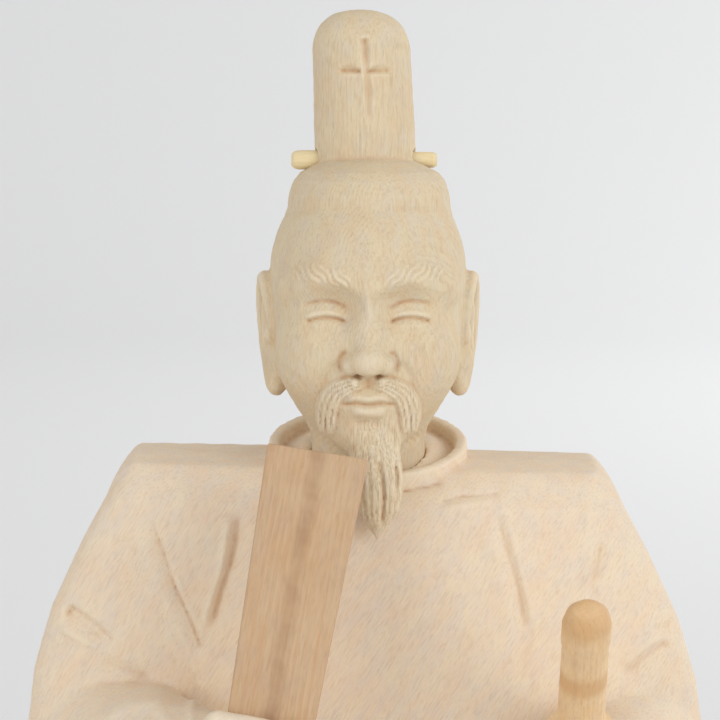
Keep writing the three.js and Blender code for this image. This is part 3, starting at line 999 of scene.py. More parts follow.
@dataclass(frozen=True)
class Wood:
    """A pale, close-ringed wood, cut and left as the knife left it.

    Attributes:
        name: name of the material.
        tones: its pale colours.
        dark: colour of the late wood's thin lines and of the fibres.
        log: the log's frame in the model, in millimetres; the grain runs along its Z.
        pith: x and y of the middle of the log, in its frame.
        spacing: distance from one ring to the next in millimetres.
        contrast: strength of the rings.
        flecks: strength of the short fibres.
        shine: how smooth it is.
        wear_and_highlight: colour of the ridges and edges, partly rubbed wear and partly painted highlight.
        groove_shade: colour of the painted shade in grooves.
        deep_groove_shade: colour of the painted shade in the deepest cuts.
    """

    name: str
    tones: Tones
    dark: str
    log: Matrix
    pith: Pair
    spacing: float
    contrast: float
    flecks: float
    shine: Shine = Shine.RAW
    # Paler ridges are wear and painted highlight; darker grooves and deepest cuts are painted shade.
    wear_and_highlight: str = "f0e2c8"
    groove_shade: str = "c9a27c"
    deep_groove_shade: str = "a07656"

    def log_place(self, graph: Graph) -> Link:
        """Give the place in the log's own frame, in millimetres.

        Args:
            graph: the material's graph.

        Returns:
            The place.
        """
        place = graph.add("ShaderNodeTexCoord", {}, {}, "Object")
        place = graph.stretched(place, (1 / MM, 1 / MM, 1 / MM))
        back = self.log.inverted()
        inputs = {"Vector": place, "Location": back.translation, "Rotation": back.to_euler()}
        return graph.add("ShaderNodeMapping", {}, inputs)

    def late_wood(self, graph: Graph, place: Link) -> Link:
        """Give the share of late wood: thin lines, sharp on the outer side of each ring.

        Args:
            graph: the material's graph.
            place: the place in the log.

        Returns:
            The share, from 0 to 1.
        """
        x, y, _ = graph.split(place)
        bent = graph.noise(graph.stretched(place, (1.0, 1.0, 0.2)), 0.045)
        away = x - self.pith[0] + (bent - 0.5) * 5.0
        deep = y - self.pith[1]
        saw = ((away * away + deep * deep) ** 0.5 / self.spacing).fract()
        patch = graph.noise(place, 0.11).between(0.35, 0.7)
        return saw**2.5 * (1.0 - saw.between(0.88, 1.0)) * (0.25 + 0.75 * patch)

    def tint(self, graph: Graph, place: Link, colour: Link) -> Link:
        """Give the wood's colour before the painted shade and highlight of grooves and ridges; a streaked wood adds to
        it.

        Args:
            graph: the material's graph.
            place: the place in the log.
            colour: the colour of its rings and fibres.

        Returns:
            The colour.
        """
        return colour

    def colour(self, graph: Graph, place: Link, late: Link, fibre: Link) -> Link:
        """Give the wood's colour before the painted shade and highlight.

        Args:
            graph: the material's graph.
            place: the place in the log.
            late: the share of late wood.
            fibre: noise that runs along the fibres.

        Returns:
            The colour.
        """
        warm = graph.noise(graph.stretched(place, (1.0, 1.0, 0.4)), 0.3, 4.0).between(0.3, 0.75)
        cool = graph.noise(graph.stretched(place, (1.2, 1.2, 0.6)), 0.36, 4.0).between(0.35, 0.78)
        colour = graph.mix(warm * 0.7, rgb(self.tones.plain), rgb(self.tones.warm))
        colour = graph.mix(cool * 0.6, colour, rgb(self.tones.cool))
        colour = graph.mix(late * self.contrast, colour, rgb(self.dark))
        short = graph.noise(graph.stretched(place, (2.6, 2.6, 0.4)), 1.0).between(0.44, 0.74)
        share = short * (0.34 * self.flecks) + fibre.between(0.46, 0.78) * (0.36 * self.flecks)
        return self.tint(graph, place, graph.mix(share, colour, rgb(self.dark)))

    def relief(self, graph: Graph, place: Link, height: Link) -> Link:
        """Give the height of the fine relief; hair adds to it.

        Args:
            graph: the material's graph.
            place: the place in the log.
            height: the height of the fibres and rings.

        Returns:
            The height.
        """
        return height

    def material(self) -> bpy.types.Material:
        """Make the material.

        Returns:
            The material.
        """
        graph = Graph(self.name)
        place = self.log_place(graph)
        late = self.late_wood(graph, place)
        fibre = graph.noise(graph.stretched(place, (7.5, 7.5, 0.6)), 1.0, 2.0)
        colour = self.colour(graph, place, late, fibre)
        hollow = graph.add("ShaderNodeAttribute", {"attribute_name": "hollow"}, {}, "Fac")
        uneven = 0.7 + 0.6 * graph.noise(place, 0.8, 3.0)
        # Painted highlight, with wear, on ridges; painted shade in grooves, and darker painted shade in the deepest
        # cuts.
        colour = graph.mix(hollow.between(-0.08, -0.5) * 0.4, colour, rgb(self.wear_and_highlight))
        colour = graph.mix(hollow.between(0.1, 0.7) * uneven * 0.6, colour, rgb(self.groove_shade))
        colour = graph.mix(hollow.between(0.5, 1.05) * uneven * 0.7, colour, rgb(self.deep_groove_shade))
        relief = self.relief(graph, place, fibre * 0.5 - late * 0.4 + graph.noise(place, 1.7, 4.0) * 0.8)
        bump = graph.add("ShaderNodeBump", {}, {"Strength": 0.3, "Distance": 0.00012, "Height": relief})
        shader = graph.add(
            "ShaderNodeBsdfPrincipled",
            {},
            {
                "Base Color": colour,
                "Roughness": self.shine.value - 0.08 * late,
                "IOR": 1.42,
                "Normal": bump,
            },
        )
        return graph.finished(shader)


@dataclass(frozen=True)
class StreakedWood(Wood):
    """A board's wood with one dark streak that runs up it.

    Attributes:
        streak: colour of the streak.
        middle: where the streak runs across the board, in millimetres.
    """

    streak: str = "a07a58"
    middle: float = 0.0

    def tint(self, graph: Graph, place: Link, colour: Link) -> Link:
        """Add the streak to the wood's colour.

        Args:
            graph: the material's graph.
            place: the place in the log.
            colour: the colour of its rings and fibres.

        Returns:
            The colour with the streak.
        """
        x, _, _ = graph.split(place)
        sway = (graph.noise(graph.stretched(place, (0.0, 0.0, 1.0)), 0.11) - 0.5) * 4.0
        off = (x - self.middle + sway).absolute()
        lump = graph.noise(graph.stretched(place, (0.5, 0.0, 1.0)), 0.16, 3.0).between(0.35, 0.7)
        dark = (1.0 - off.between(0.2, 2.2)) * (0.35 + 0.65 * lump)
        side = graph.noise(graph.stretched(place, (1.5, 0.0, 0.05)), 1.0).between(0.5, 0.72)
        colour = graph.mix(side * 0.4, colour, rgb("c9966a"))
        return graph.mix(dark * 0.6, colour, rgb(self.streak))


@dataclass(frozen=True)
class BandedWood(Wood):
    """A grip's wood, painted darker in rings round it: painted shadow such as raised rings on a grip cast.

    Attributes:
        band: colour of the painted shadow in each band.
        shadow_bands: height of the middle of each band of painted shadow and half its width, in millimetres.
    """

    band: str = "cf9a5e"
    shadow_bands: tuple[Pair, ...] = ()

    def tint(self, graph: Graph, place: Link, colour: Link) -> Link:
        """Paint the rings of shadow into the wood's colour.

        Args:
            graph: the material's graph.
            place: the place in the log.
            colour: the colour of its rings and fibres.

        Returns:
            The colour with the bands.
        """
        _, _, z = graph.split(place)
        # Each band is painted shadow, darkest at its middle.
        for middle, half in self.shadow_bands:
            share = (z - middle).absolute().between(half, 0.2 * half)
            colour = graph.mix(share * 0.5, colour, rgb(self.band))
        return colour


@dataclass(frozen=True)
class HairedWood(Wood):
    """Wood with fine knife lines where hair is carved in it, with painted shade in the lines and painted highlight
    between them.
    """

    def lines(self, graph: Graph, place: Link) -> tuple[Link, Link]:
        """Give the knife lines.

        Args:
            graph: the material's graph.
            place: the place in the log.

        Returns:
            The share of hair, and noise that runs along its strands.
        """
        hair = graph.add("ShaderNodeAttribute", {"attribute_name": "hair"}, {}, "Fac")
        return hair, graph.noise(graph.stretched(place, (3.6, 3.6, 0.3)), 1.0, 2.0)

    def tint(self, graph: Graph, place: Link, colour: Link) -> Link:
        """Add the knife lines to the wood's colour as painted shade, with painted highlight between them.

        Args:
            graph: the material's graph.
            place: the place in the log.
            colour: the colour of its rings and fibres.

        Returns:
            The colour with the lines.
        """
        hair, line = self.lines(graph, place)
        # Painted highlight between the knife lines, then painted shade in them.
        colour = graph.mix(hair * line.between(0.5, 0.34) * 0.4, colour, rgb(self.wear_and_highlight))
        return graph.mix(hair * line.between(0.52, 0.68) * 0.45, colour, rgb(self.dark))

    def relief(self, graph: Graph, place: Link, height: Link) -> Link:
        """Sink the knife lines into the fine relief.

        Args:
            graph: the material's graph.
            place: the place in the log.
            height: the height of the fibres and rings.

        Returns:
            The height with the lines.
        """
        hair, line = self.lines(graph, place)
        return height - hair * line.between(0.5, 0.7) * 1.6


# The head. Its own frame has its origin at eye level on the middle line, with the face towards -Y.


@dataclass
class Head:
    """The head, its cap and the tall part of the hat, carved from one block.

    The features lie where the classical canon puts them, at fixed parts of the head's height.

    Attributes:
        height: from the chin to the top of the skull.
        brim: height of the cap's lower edge at the brow.
        crown: height of the cap's top.
        top: height of the hat's top.
        column: half the width and half the depth of the hat's tall part.
        column_place: x and y of its middle where it leaves the cap.
        lean: how far it leans to the side for each millimetre of height.
        dome: height of its rounded top.
        neck: radius, top and foot of the tenon under the head.
        beard_radii: half the beard's width at each spot of its line.
        wood: its finish.
    """

    height: float = 51.0
    brim: float = 18.3
    crown: float = 26.6
    top: float = 53.4
    column: Pair = (8.95, 7.7)
    column_place: Pair = (-0.45, 3.5)
    lean: float = 0.038
    dome: float = 7.8
    neck: Spot = (10.4, -18.0, -37.0)
    beard_radii: tuple[float, ...] = (4.4, 4.7, 4.7, 2.8, 0.3)
    wood: Wood = field(default_factory=lambda: HEAD_WOOD)

    @property
    def chin(self) -> float:
        """Height of the chin's point."""
        return -self.height / 2

    @property
    def brow(self) -> float:
        """Height of the brow, two thirds of the face above the chin."""
        return self.chin + 2 * self.height / 3.5

    @property
    def nose(self) -> float:
        """Height of the nose's base, one third of the face above the chin."""
        return self.chin + self.height / 3.5

    @property
    def mouth(self) -> float:
        """Height of the line between the lips."""
        return self.nose - self.height / 10.5

    def skull(self, p: np.ndarray) -> np.ndarray:
        """Give the plain form of the head: skull, jaw, cheeks, chin and brow.

        Args:
            p: points.

        Returns:
            Distances.
        """
        q = mirrored(p)
        d = egg(p, (0, 2, 5), (18, 21.5, 21))
        d = join(d, egg(p, (0, -3.2, -9), (15.6, 15.6, 17)), 6)
        d = join(d, egg(q, (8.6, -10.5, -8.5), (7.4, 7, 8.5)), 4)
        d = join(d, egg(p, (0, -13.6, self.chin + 5), (7.4, 6, 5.4)), 4)
        ridge = [(0, -16.6, self.brow), (8, -15.6, self.brow + 1.4), (13.5, -11, self.brow)]
        return join(d, chain(q, ridge, (2.6, 2.8, 2)), 4)

    def eyes(self, p: np.ndarray, d: np.ndarray) -> np.ndarray:
        """Carve both eyes: sockets, eyeballs under their lids, and the narrow gap between the lids.

        Args:
            p: points.
            d: distances to the plain head.

        Returns:
            Distances.
        """
        x = self.height / 7
        q = mirrored(p)
        d = cut(d, egg(q, (x, -20.4, 0.4), (6.2, 4.6, 3.8)), 3.0)
        d = join(d, egg(q, (x, -12.4, -1.0), (5.2, 4.4, 3.9)), 1.6)
        lids = (
            Stroke(((3.2, -1.7), (5.0, -0.6), (x, -0.1), (9.8, -0.5), (11.8, -1.6)), 0.34, 0.55),
            Stroke(((3.6, -1.9), (5.4, -1.25), (x, -1.05), (9.4, -1.3), (11.4, -2.0)), -0.62, 0.34, (0.12, 0.12)),
            Stroke(((4.2, -2.5), (x, -2.5), (10.6, -2.7)), 0.26, 0.6),
            Stroke(((3.4, 0.1), (5.0, 1.3), (x + 0.2, 1.9), (10.4, 1.4), (12.4, 0.2)), -0.42, 0.36, (0.2, 0.3)),
            Stroke(((4.4, -4.2), (x, -4.9), (10.8, -4.3)), -0.22, 0.7, (0.4, 0.4)),
        )
        return lifted(d, q, lids)

    def nose_shape(self, p: np.ndarray, d: np.ndarray) -> np.ndarray:
        """Carve the nose with its wings and nostrils.

        Args:
            p: points.
            d: distances to the head without it.

        Returns:
            Distances.
        """
        base = self.nose
        q = mirrored(p)
        d = join(d, chain(p, [(0, -15.9, 2.5), (0, -17.2, -2.0), (0, -19.5, base + 3.2)], (1.7, 1.9, 2.5)), 2.6)
        d = join(d, egg(p, (0, -20.4, base + 2.2), (2.9, 2.7, 2.4)), 1.6)
        d = join(d, egg(q, (2.9, -18.4, base + 1.6), (1.75, 2.5, 1.85)), 0.9)
        wing = ((3.3, base + 4.3), (4.7, base + 3.4), (5.1, base + 1.5), (4.4, base + 0.1))
        d = lifted(d, q, (Stroke(wing, -0.5, 0.42),))
        return cut(d, egg(q, (1.65, -19.9, base - 0.35), (0.85, 1.3, 0.7)), 0.4)

    def lips(self, p: np.ndarray, d: np.ndarray) -> np.ndarray:
        """Carve the mouth, the hollow above it and the one below it.

        Args:
            p: points.
            d: distances to the head without it.

        Returns:
            Distances.
        """
        line = self.mouth
        d = join(d, egg(p, (0, -15.4, line), (6.6, 5, 4.2)), 2.5)
        middle = (
            Stroke(((-4.7, line + 0.2), (-2.2, line + 1.1), (0, line + 0.8), (2.2, line + 1.1), (4.7, line + 0.2)), 0.6, 0.7),
            Stroke(((-3.6, line - 1.3), (0, line - 1.7), (3.6, line - 1.3)), 0.75, 0.95),
            Stroke(((-5.1, line - 0.5), (-2.4, line - 0.1), (0, line - 0.3), (2.4, line - 0.1), (5.1, line - 0.5)), -0.6, 0.36, (0.12, 0.12)),
            Stroke(((0, self.nose - 0.6), (0, line + 2.0)), -0.3, 0.7, (0.2, 0.3)),
            Stroke(((-3.2, line - 3.7), (0, line - 4.1), (3.2, line - 3.7)), -0.6, 1.1, (0.3, 0.3)),
        )
        cheek = ((5.2, self.nose + 2.8), (7.4, self.nose - 0.6), (8.6, line + 0.2))
        return lifted(lifted(d, p, middle), mirrored(p), (Stroke(cheek, -0.45, 0.8, (0.2, 0.5)),))

    def eyebrows(self, p: np.ndarray, d: np.ndarray) -> np.ndarray:
        """Carve thick brows as low patches with short slanting cuts.

        Args:
            p: points.
            d: distances to the head without them.

        Returns:
            Distances.
        """
        q = mirrored(p)
        path = ((2.2, self.brow + 1.5), (6.2, self.brow + 2.9), (10.6, self.brow + 3.4), (15.0, self.brow + 2.4))
        patch = Lock(path, (1.3, 1.8, 1.7, 0.7), 0.3, 0.0, 0.0).height(q)
        slant = q[2] * 0.6 - q[0] * 0.8 + 0.25 * np.sin(1.3 * q[0] + 1.1 * q[2])
        hair = (0.5 + 0.5 * np.cos(2 * math.pi * slant / 1.15)) ** 3
        return d - patch * (1.0 - 1.2 * hair)

    def ears(self, p: np.ndarray, d: np.ndarray) -> np.ndarray:
        """Carve both ears with a rolled rim, an inner fold and a long lobe.

        Args:
            p: points.
            d: distances to the head without them.

        Returns:
            Distances.
        """
        q = mirrored(p)
        d = join(d, egg(q, (16.6, 2.7, -6.5), (2.7, 4.9, 10.6)), 2.4)
        rim = [(17.4, -1.8, -3.6), (18.3, -1.5, 1.8), (19.0, 2.0, 4.8), (19.4, 6.0, 2.6), (19.4, 7.2, -2.0)]
        rim += [(18.8, 5.8, -8.0), (17.8, 3.6, -12.6), (16.9, 1.4, -15.2), (16.4, -0.6, -13.0)]
        path = smoothed([(*spot, radius) for spot, radius in zip(rim, (0.8, 1.1, 1.2, 1.3, 1.3, 1.3, 1.5, 1.6, 1.0))], 3)
        d = join(d, chain(q, path[:, :3], path[:, 3]), 0.9)
        d = cut(d, egg(q, (20.6, 1.2, -4.2), (2.9, 2.4, 5.2)), 0.6)
        inner = smoothed([(18.8, 4.6, 1.4), (19.0, 4.2, -3.0), (18.6, 2.6, -8.4)], 3)
        d = join(d, chain(q, inner, [0.7] * len(inner)), 0.5)
        return join(d, egg(q, (17.7, -1.9, -5.2), (1.2, 1.3, 1.9)), 0.6)

    def cap_line(self, p: np.ndarray) -> np.ndarray:
        """Give the height above the cap's lower edge, which falls a little towards the back."""
        return p[2] - self.brim + 0.14 * (p[1] + 15)

    def cap(self, p: np.ndarray) -> np.ndarray:
        """Give the close cap, upright at its sides and rounded in to its rim.

        Args:
            p: points.

        Returns:
            Distances.
        """
        top = self.crown
        shape = [(0, top), (5, top - 0.2), (8.6, top - 1), (10.3, top - 1.7), (12.3, top - 2.8), (13.5, top - 4.2)]
        shape += [(14.3, 20.2), (14.6, 17.5), (15.2, 15), (16.6, 10), (0, 10)]
        round_shape = outline(np.hypot(p[0] - 0.2, (p[1] - 2) * 0.87), p[2], shape)
        return keep(round_shape, -self.cap_line(p), 0.3) - 0.3

    def hat(self, p: np.ndarray) -> np.ndarray:
        """Give the tall part of the hat, with the cross cut into its face.

        Args:
            p: points.

        Returns:
            Distances.
        """
        half_width, half_depth = self.column
        shoulder = self.top - self.dome
        taper = 1.0 + 0.0018 * np.maximum(shoulder - p[2], 0.0)
        middle = self.column_place[0] - self.lean * (p[2] - self.crown)
        across = np.hypot((p[0] - middle) / half_width, (p[1] - self.column_place[1]) / half_depth) / taper
        over = np.maximum(p[2] - shoulder, 0.0) / self.dome
        reach = (across**2.5 + over**2.2) ** (1 / 2.4)
        d = keep((reach - 1.0) * 8.2, self.crown - 7 - p[2], 0.5)
        upright = ((-0.7, 48.2), (-0.5, 45.6), (-0.25, 42.5), (0.0, 38.0), (0.2, 31.0))
        cross = [Stroke(upright, -0.65, 0.42, (0.06, 0.15)), Stroke(upright[:3], -0.6, 0.75, (0.08, 0.5))]
        for left, right, fade in ((-5.7, -1.2, (0.3, 0.1)), (-0.3, 4.7, (0.1, 0.3))):
            middle = (left + right) / 2
            cross.append(Stroke(((left, 42.15), (middle, 42.3), (right, 42.15)), -1.2, 0.38, fade))
            cross.append(Stroke(((left + 0.3, 42.4), (middle, 42.9), (right - 0.3, 42.4)), -0.5, 0.45, (0.3, 0.3)))
        return lifted(d, p, cross)

    def tail(self, p: np.ndarray) -> np.ndarray:
        """Give the ribbon that rises behind the hat and hangs down the back of the head.

        Args:
            p: points.

        Returns:
            Distances.
        """
        knots = [(11, 24), (12.3, 31), (14, 36), (16.2, 39.4), (19, 40.5), (22.2, 39.8), (24.5, 37)]
        knots += [(25.8, 31), (26.5, 22), (26.7, 13), (26.4, 4), (25.7, -5), (24.6, -14)]
        strip = chain(p * np.float32([[0], [1], [1]]), [(0, y, z) for y, z in knots], [0.9] * len(knots))
        edge = np.abs(p[0]) - 6
        rib = 0.25 * np.exp(-(((np.abs(p[0]) - 4.9) / 0.5) ** 2))
        return keep(strip - rib, edge, 0.5)

    @property
    def moustache(self) -> Lock:
        """Half of the drooping moustache."""
        base = self.nose
        path = ((0.7, base - 1.5), (3.4, base - 1.9), (6.1, base - 3.4))
        path += ((7.4, base - 6.2), (7.5, base - 9.4), (7.2, base - 12.8))
        return Lock(path, (0.8, 1.5, 2.0, 2.1, 1.8, 0.8), 1.25, 4.4, 0.42)

    @property
    def beard(self) -> list[Spot]:
        """The line that the beard hangs along, root first."""
        chin = self.chin
        line = [(0.6, -15.0, chin + 5.5), (1.2, -17.6, chin - 0.5), (1.6, -19.2, chin - 6)]
        return line + [(1.6, -19.5, chin - 10), (1.5, -19.2, chin - 14.2)]

    def haired(self, p: np.ndarray) -> np.ndarray:
        """Give the share of moustache and beard at a place.

        Args:
            p: points.

        Returns:
            Shares from 0 to 1.
        """
        beard = eased((1.4 - chain(p, self.beard, self.beard_radii)) / 1.4)
        return np.maximum(beard, eased(self.moustache.height(mirrored(p)) / 0.6))

    def hair(self, p: np.ndarray, d: np.ndarray) -> np.ndarray:
        """Carve the drooping moustache and the long beard, and the short strokes beside the chin.

        Args:
            p: points.
            d: distances to the head without them.

        Returns:
            Distances.
        """
        chin = self.chin
        d = d - self.moustache.height(mirrored(p))
        beard = free_lock(p, self.beard, self.beard_radii, 8.0, 0.22, 0.72)
        splits = (
            Stroke(((1.7, chin - 0.2), (2.2, chin - 3.6), (2.6, chin - 6.4), (2.4, chin - 12.6)), -0.75, 0.42, (0.06, 0.12)),
            Stroke(((4.7, chin - 1.2), (4.9, chin - 3.4), (4.8, chin - 6.6)), -0.5, 0.34, (0.12, 0.25)),
            Stroke(((-1.4, chin - 0.6), (-1.5, chin - 5.0), (-0.4, chin - 10.5)), -0.45, 0.36, (0.12, 0.25)),
        )
        d = join(d, lifted(beard, p, splits), 1.6)
        strokes = []
        for i in range(8):
            x = 5.6 + 0.85 * i
            z = chin - 0.4 + 0.62 * i
            strokes.append(Stroke(((x, z + 1.5), (x + 1.5, z - 0.5)), -0.32, 0.26))
        return lifted(d, mirrored(p), strokes)

    def shape(self, p: np.ndarray) -> np.ndarray:
        """Give the whole head.

        Args:
            p: points.

        Returns:
            Distances.
        """
        base, chin = self.nose, self.chin
        d = self.skull(p)
        d = near_to(p, d, (-13, -19, -6), (13, -9, 4.5), 3, self.eyes)
        d = near_to(p, d, (-6, -24, base - 1), (6, -13, 4), 4, self.nose_shape)
        d = near_to(p, d, (-9, -21, base - 10), (9, -10, base + 3), 4, self.lips)
        d = near_to(p, d, (-16.5, -20.5, self.brow - 2), (16.5, -9, self.brow + 7), 2, self.eyebrows)
        d = join(d, self.cap(p), 0.4)
        d = near_to(p, d, (-21.5, -4, -18), (21.5, 9, 6.5), 2, self.ears)
        d = near_to(p, d, (-14.5, -26, chin - 16), (14.5, -7, base), 2, self.hair)
        d = join(d, self.hat(p), 0.6)
        d = join(d, self.tail(p), 0.6)
        radius, top, foot = self.neck
        tenon = keep(np.hypot(p[0], p[1]) - radius, np.maximum(foot - p[2], p[2] - top), 0.6)
        d = join(d, tenon, 3.0)
        line = 0.16 * np.exp(-((self.cap_line(p) / 0.3) ** 2))
        d = d + line * (np.abs(d) < 2) * (p[2] > 8)
        bore = np.hypot(p[1] - PIN_PLACE[0], p[2] - PIN_PLACE[1]) - 2.1
        return cut(d, bore, 0.3) - hand_cut(p)

    def build(self) -> bpy.types.Object:
        """Carve the head, dress it and let it stand for its solid.

        Returns:
            The piece.
        """
        carver = Carver((-22.5, -27, -47.5), (22.5, 29.5, 55.5), 0.3, 195000)
        place = (0, HEAD_Y, BOARD_HEIGHT + EYE_LEVEL)
        piece = carver.carve("carved_head", self.shape, place, self.haired)
        dress(piece, self.wood, "head")
        return piece


# The body. Its own frame has its origin on the board, under the middle of the seat.


@dataclass
class Robe:
    """The seated body in its robe, with both hands.

    Attributes:
        front: outline of the right half seen from the front, as x and z, closed well past the middle.
        side: outline seen from the side, as y and z.
        middle: x of the middle of both outlines.
        slope: fall of the shoulders for each millimetre across.
        shoulder: middle of the shoulder joint.
        elbow: middle of the elbow.
        wrists: middle of each wrist, the left one of the viewer first.
        edge: how far the cloth stands out from the outlines.
        sleeve: half the thickness of a hanging sleeve.
        collar: y and z of the middle of the collar, and half its width and depth.
        wood: its finish.
    """

    front: tuple[Pair, ...] = (
        (-30, 99.2), (41.8, 99), (45.1, 91.1), (49.3, 83.3), (54.9, 71.3),
        (58.1, 60.4), (59.4, 50), (60, 38), (62, 22), (66, -6), (-30, -6),
    )
    side: tuple[Pair, ...] = (
        (-3, 99.2), (-10.5, 97.4), (-15, 91.8), (-16.8, 80), (-17.8, 64), (-18.6, 48), (-22, 20), (-24, -6),
        (54, -6), (48, 14), (41, 38), (37, 52), (31, 70), (25.5, 86.8), (19, 96.4), (11, 99.2),
    )
    middle: float = -0.45
    slope: float = 0.024
    shoulder: Spot = (37, 4, 78)
    elbow: Spot = (48.5, -7, 49)
    wrists: tuple[Spot, Spot] = ((27.5, -40, 52), (31, -38, 35))
    edge: float = 2.5
    sleeve: float = 6.0
    collar: tuple[float, float, float, float] = (0.6, 100.6, 17.0, 16.2)
    wood: Wood = field(default_factory=lambda: ROBE_WOOD)

    def torso(self, p: np.ndarray) -> np.ndarray:
        """Give the trunk, the crossed legs under the robe, the lap and the train behind.

        Args:
            p: points.

        Returns:
            Distances.
        """
        q = np.stack((np.abs(p[0] - self.middle), p[1], p[2] + self.slope * p[0]))
        thinning = 1 + 0.42 * np.minimum(q[0] / 60, 1.2) ** 2
        front = outline(q[0], q[2], self.front) - self.edge
        d = keep(front, outline((q[1] - 6) * thinning + 6, q[2], self.side) - self.edge, 7)
        d = join(d, chain(q, [(8, 0, 20), (42, -24, 8)], (24, 17)), 12)
        d = join(d, chain(q, [(44, -30, 4), (0, -38, 4)], (16, 17)), 10)
        d = join(d, panel(q, (0, -16, 44), (9, -16, 44), (15, -52, 4)) - 4, 6)
        d = join(d, panel(q, (0, -16, 44), (15, -52, 4), (0, -54, 4)) - 4, 6)
        d = join(d, panel(q, (0, 38, 44), (15, 37, 44), (20, 54, 0)) - 3, 3)
        return join(d, panel(q, (0, 38, 44), (20, 54, 0), (0, 55, 0)) - 3, 3)

    def arm(self, q: np.ndarray, wrist: Spot) -> np.ndarray:
        """Give one arm with its wide hanging sleeve, on the side where x is positive.

        Args:
            q: points.
            wrist: middle of the wrist.

        Returns:
            Distances.
        """
        wx, wy, wz = wrist
        d = chain(q, [self.shoulder, self.elbow, wrist], (6, 11.6, 9.4))
        high, low, foot = (52, -6, 44), (wx + 3, wy + 1, wz - 5), (wx + 10, -50, -2)
        knee, flare, back = (62, -42, -2), (74, -8, -2), (62, 26, -2)
        d = join(d, panel(q, high, low, foot) - self.sleeve, 8)
        d = join(d, panel(q, high, foot, knee) - self.sleeve, 8)
        d = join(d, panel(q, high, knee, flare) - self.sleeve, 8)
        d = join(d, panel(q, high, flare, back) - self.sleeve, 8)
        return join(d, chain(q, [self.elbow, (54, -16, 0)], (11, 26)), 4)

    def right_hand(self, p: np.ndarray) -> np.ndarray:
        """Give the fist that holds the baton, its fingers across the baton's face.

        Args:
            p: points.

        Returns:
            Distances.
        """
        q = into(BATON_FRAME, p)
        grip = 13.0
        d = egg(q, (-7, 3.4, grip), (6, 6.2, 8.6))
        for i in range(4):
            h = grip + (i - 1.5) * 3.9
            d = join(d, chain(q, [(-9, 1, h), (-8.4, -3, h), (0, -4, h), (6.4, -3.4, h - 0.4)], (2.4, 2.3, 2.1, 1.8)), 0.5)
        return join(d, chain(q, [(-6, 5, grip + 6), (3, 4.6, grip + 8.6)], (2.8, 2.2)), 1)

    def left_hand(self, p: np.ndarray) -> np.ndarray:
        """Give the closed hand that rests below the sword's hilt.

        Args:
            p: points.

        Returns:
            Distances.
        """
        kx, ky, kz = LEFT_HAND
        d = egg(p, (kx + 1, ky + 2, kz), (7.6, 7, 5.6))
        for i in range(4):
            x, y = kx + (i - 1.5) * 3.9, ky + (i - 1.5) * 1.1
            d = join(d, chain(p, [(x, y - 1, kz + 3.4), (x - 0.6, y - 5.6, kz + 0.8), (x - 0.8, y - 4.4, kz - 3.8)], (2.3, 2.2, 1.9)), 0.5)
        return join(d, chain(p, [(kx - 6, ky + 3, kz + 1.6), (kx - 7.6, ky - 4.6, kz + 1)], (2.5, 2)), 1)

    def folds(self, p: np.ndarray, d: np.ndarray) -> np.ndarray:
        """Work the folds of the cloth into the plain body.

        Args:
            p: points.
            d: distances to the plain body.

        Returns:
            Distances.
        """
        q = mirrored(p)
        d = lifted(d, p, LEFT_FOLDS + RIGHT_FOLDS)
        belt = 1.3 * eased((3.6 - np.abs(p[2] - 47)) / 1.0) * eased((p[1] - 6) / 10)
        return lifted(d + belt, q, FRONT_FOLDS + BACK_FOLDS)

    def shape(self, p: np.ndarray) -> np.ndarray:
        """Give the whole body.

        Args:
            p: points.

        Returns:
            Distances.
        """
        d = self.torso(p)
        flipped = p * np.float32([[-1], [1], [1]])
        d = join(d, self.arm(flipped, self.wrists[0]), 0.8)
        d = join(d, self.arm(p, self.wrists[1]), 0.8)
        d = self.folds(p, d)
        d = near_to(p, d, (-38, -56, 40), (-8, -36, 70), 2, self.right_sleeve_mouth)
        d = near_to(p, d, (17, -56, 22), (41, -34, 42), 2, self.left_sleeve_mouth)
        y, z, across, deep = self.collar
        tilt = math.radians(14)
        away, up = p[1] - y, p[2] - z
        level = away * math.cos(tilt) + up * math.sin(tilt)
        rise = up * math.cos(tilt) - away * math.sin(tilt)
        ring = (np.hypot(p[0] / across, level / deep) - 1) * deep
        band = keep(np.abs(ring) - 1.05, np.maximum(rise - 2.1, -5.3 - rise), 0.5) - 0.2
        d = join(d, band, 0.3)
        floor = 0.3 + 1.3 * eased((-1.2 - ring) / 4.0)
        d = join(d, np.maximum(ring, np.maximum(rise - floor, -6.0 - rise)), 0.3)
        d = cut(d, np.maximum(ring + 1.25, (floor - rise) * 0.8), 1.2)
        d = keep(d - COLLAR_FOOT.height(p), -p[2], 0.5)
        neck = np.maximum(np.hypot(p[0], p[1] - HEAD_Y) - 10.55, EYE_LEVEL - 37.3 - p[2])
        d = cut(d, neck, 0.2)
        for grown in (baton_field(p), hilt_field(p), scabbard_field(p)):
            d = cut(d, grown - PLAY, 0.2)
        return d - hand_cut(p)

    def right_sleeve_mouth(self, p: np.ndarray, d: np.ndarray) -> np.ndarray:
        """Hollow the sleeve's mouth and put the fist with the baton in it.

        Args:
            p: points.
            d: distances to the body.

        Returns:
            Distances.
        """
        d = cut(d, egg(p, (-23.6, -48.2, 54), (8.2, 7.6, 10.2)), 0.8)
        return join(d, self.right_hand(p), 0.4)

    def left_sleeve_mouth(self, p: np.ndarray, d: np.ndarray) -> np.ndarray:
        """Hollow the sleeve's mouth and put the resting hand in it.

        Args:
            p: points.
            d: distances to the body.

        Returns:
            Distances.
        """
        d = cut(d, egg(p, (29.4, -46.6, 32), (8.8, 7.4, 6.7)), 0.8)
        return join(d, self.left_hand(p), 0.4)

    def build(self) -> bpy.types.Object:
        """Carve the body, dress it and let it stand for its solid.

        Returns:
            The piece.
        """
        carver = Carver((-81, -62, -1.5), (81, 60, 105.5), 0.5, 195000)
        piece = carver.carve("carved_robe", self.shape, (0, 0, BOARD_HEIGHT))
        dress(piece, self.wood, "body")
        return piece


# The small pieces that are let into the carvings


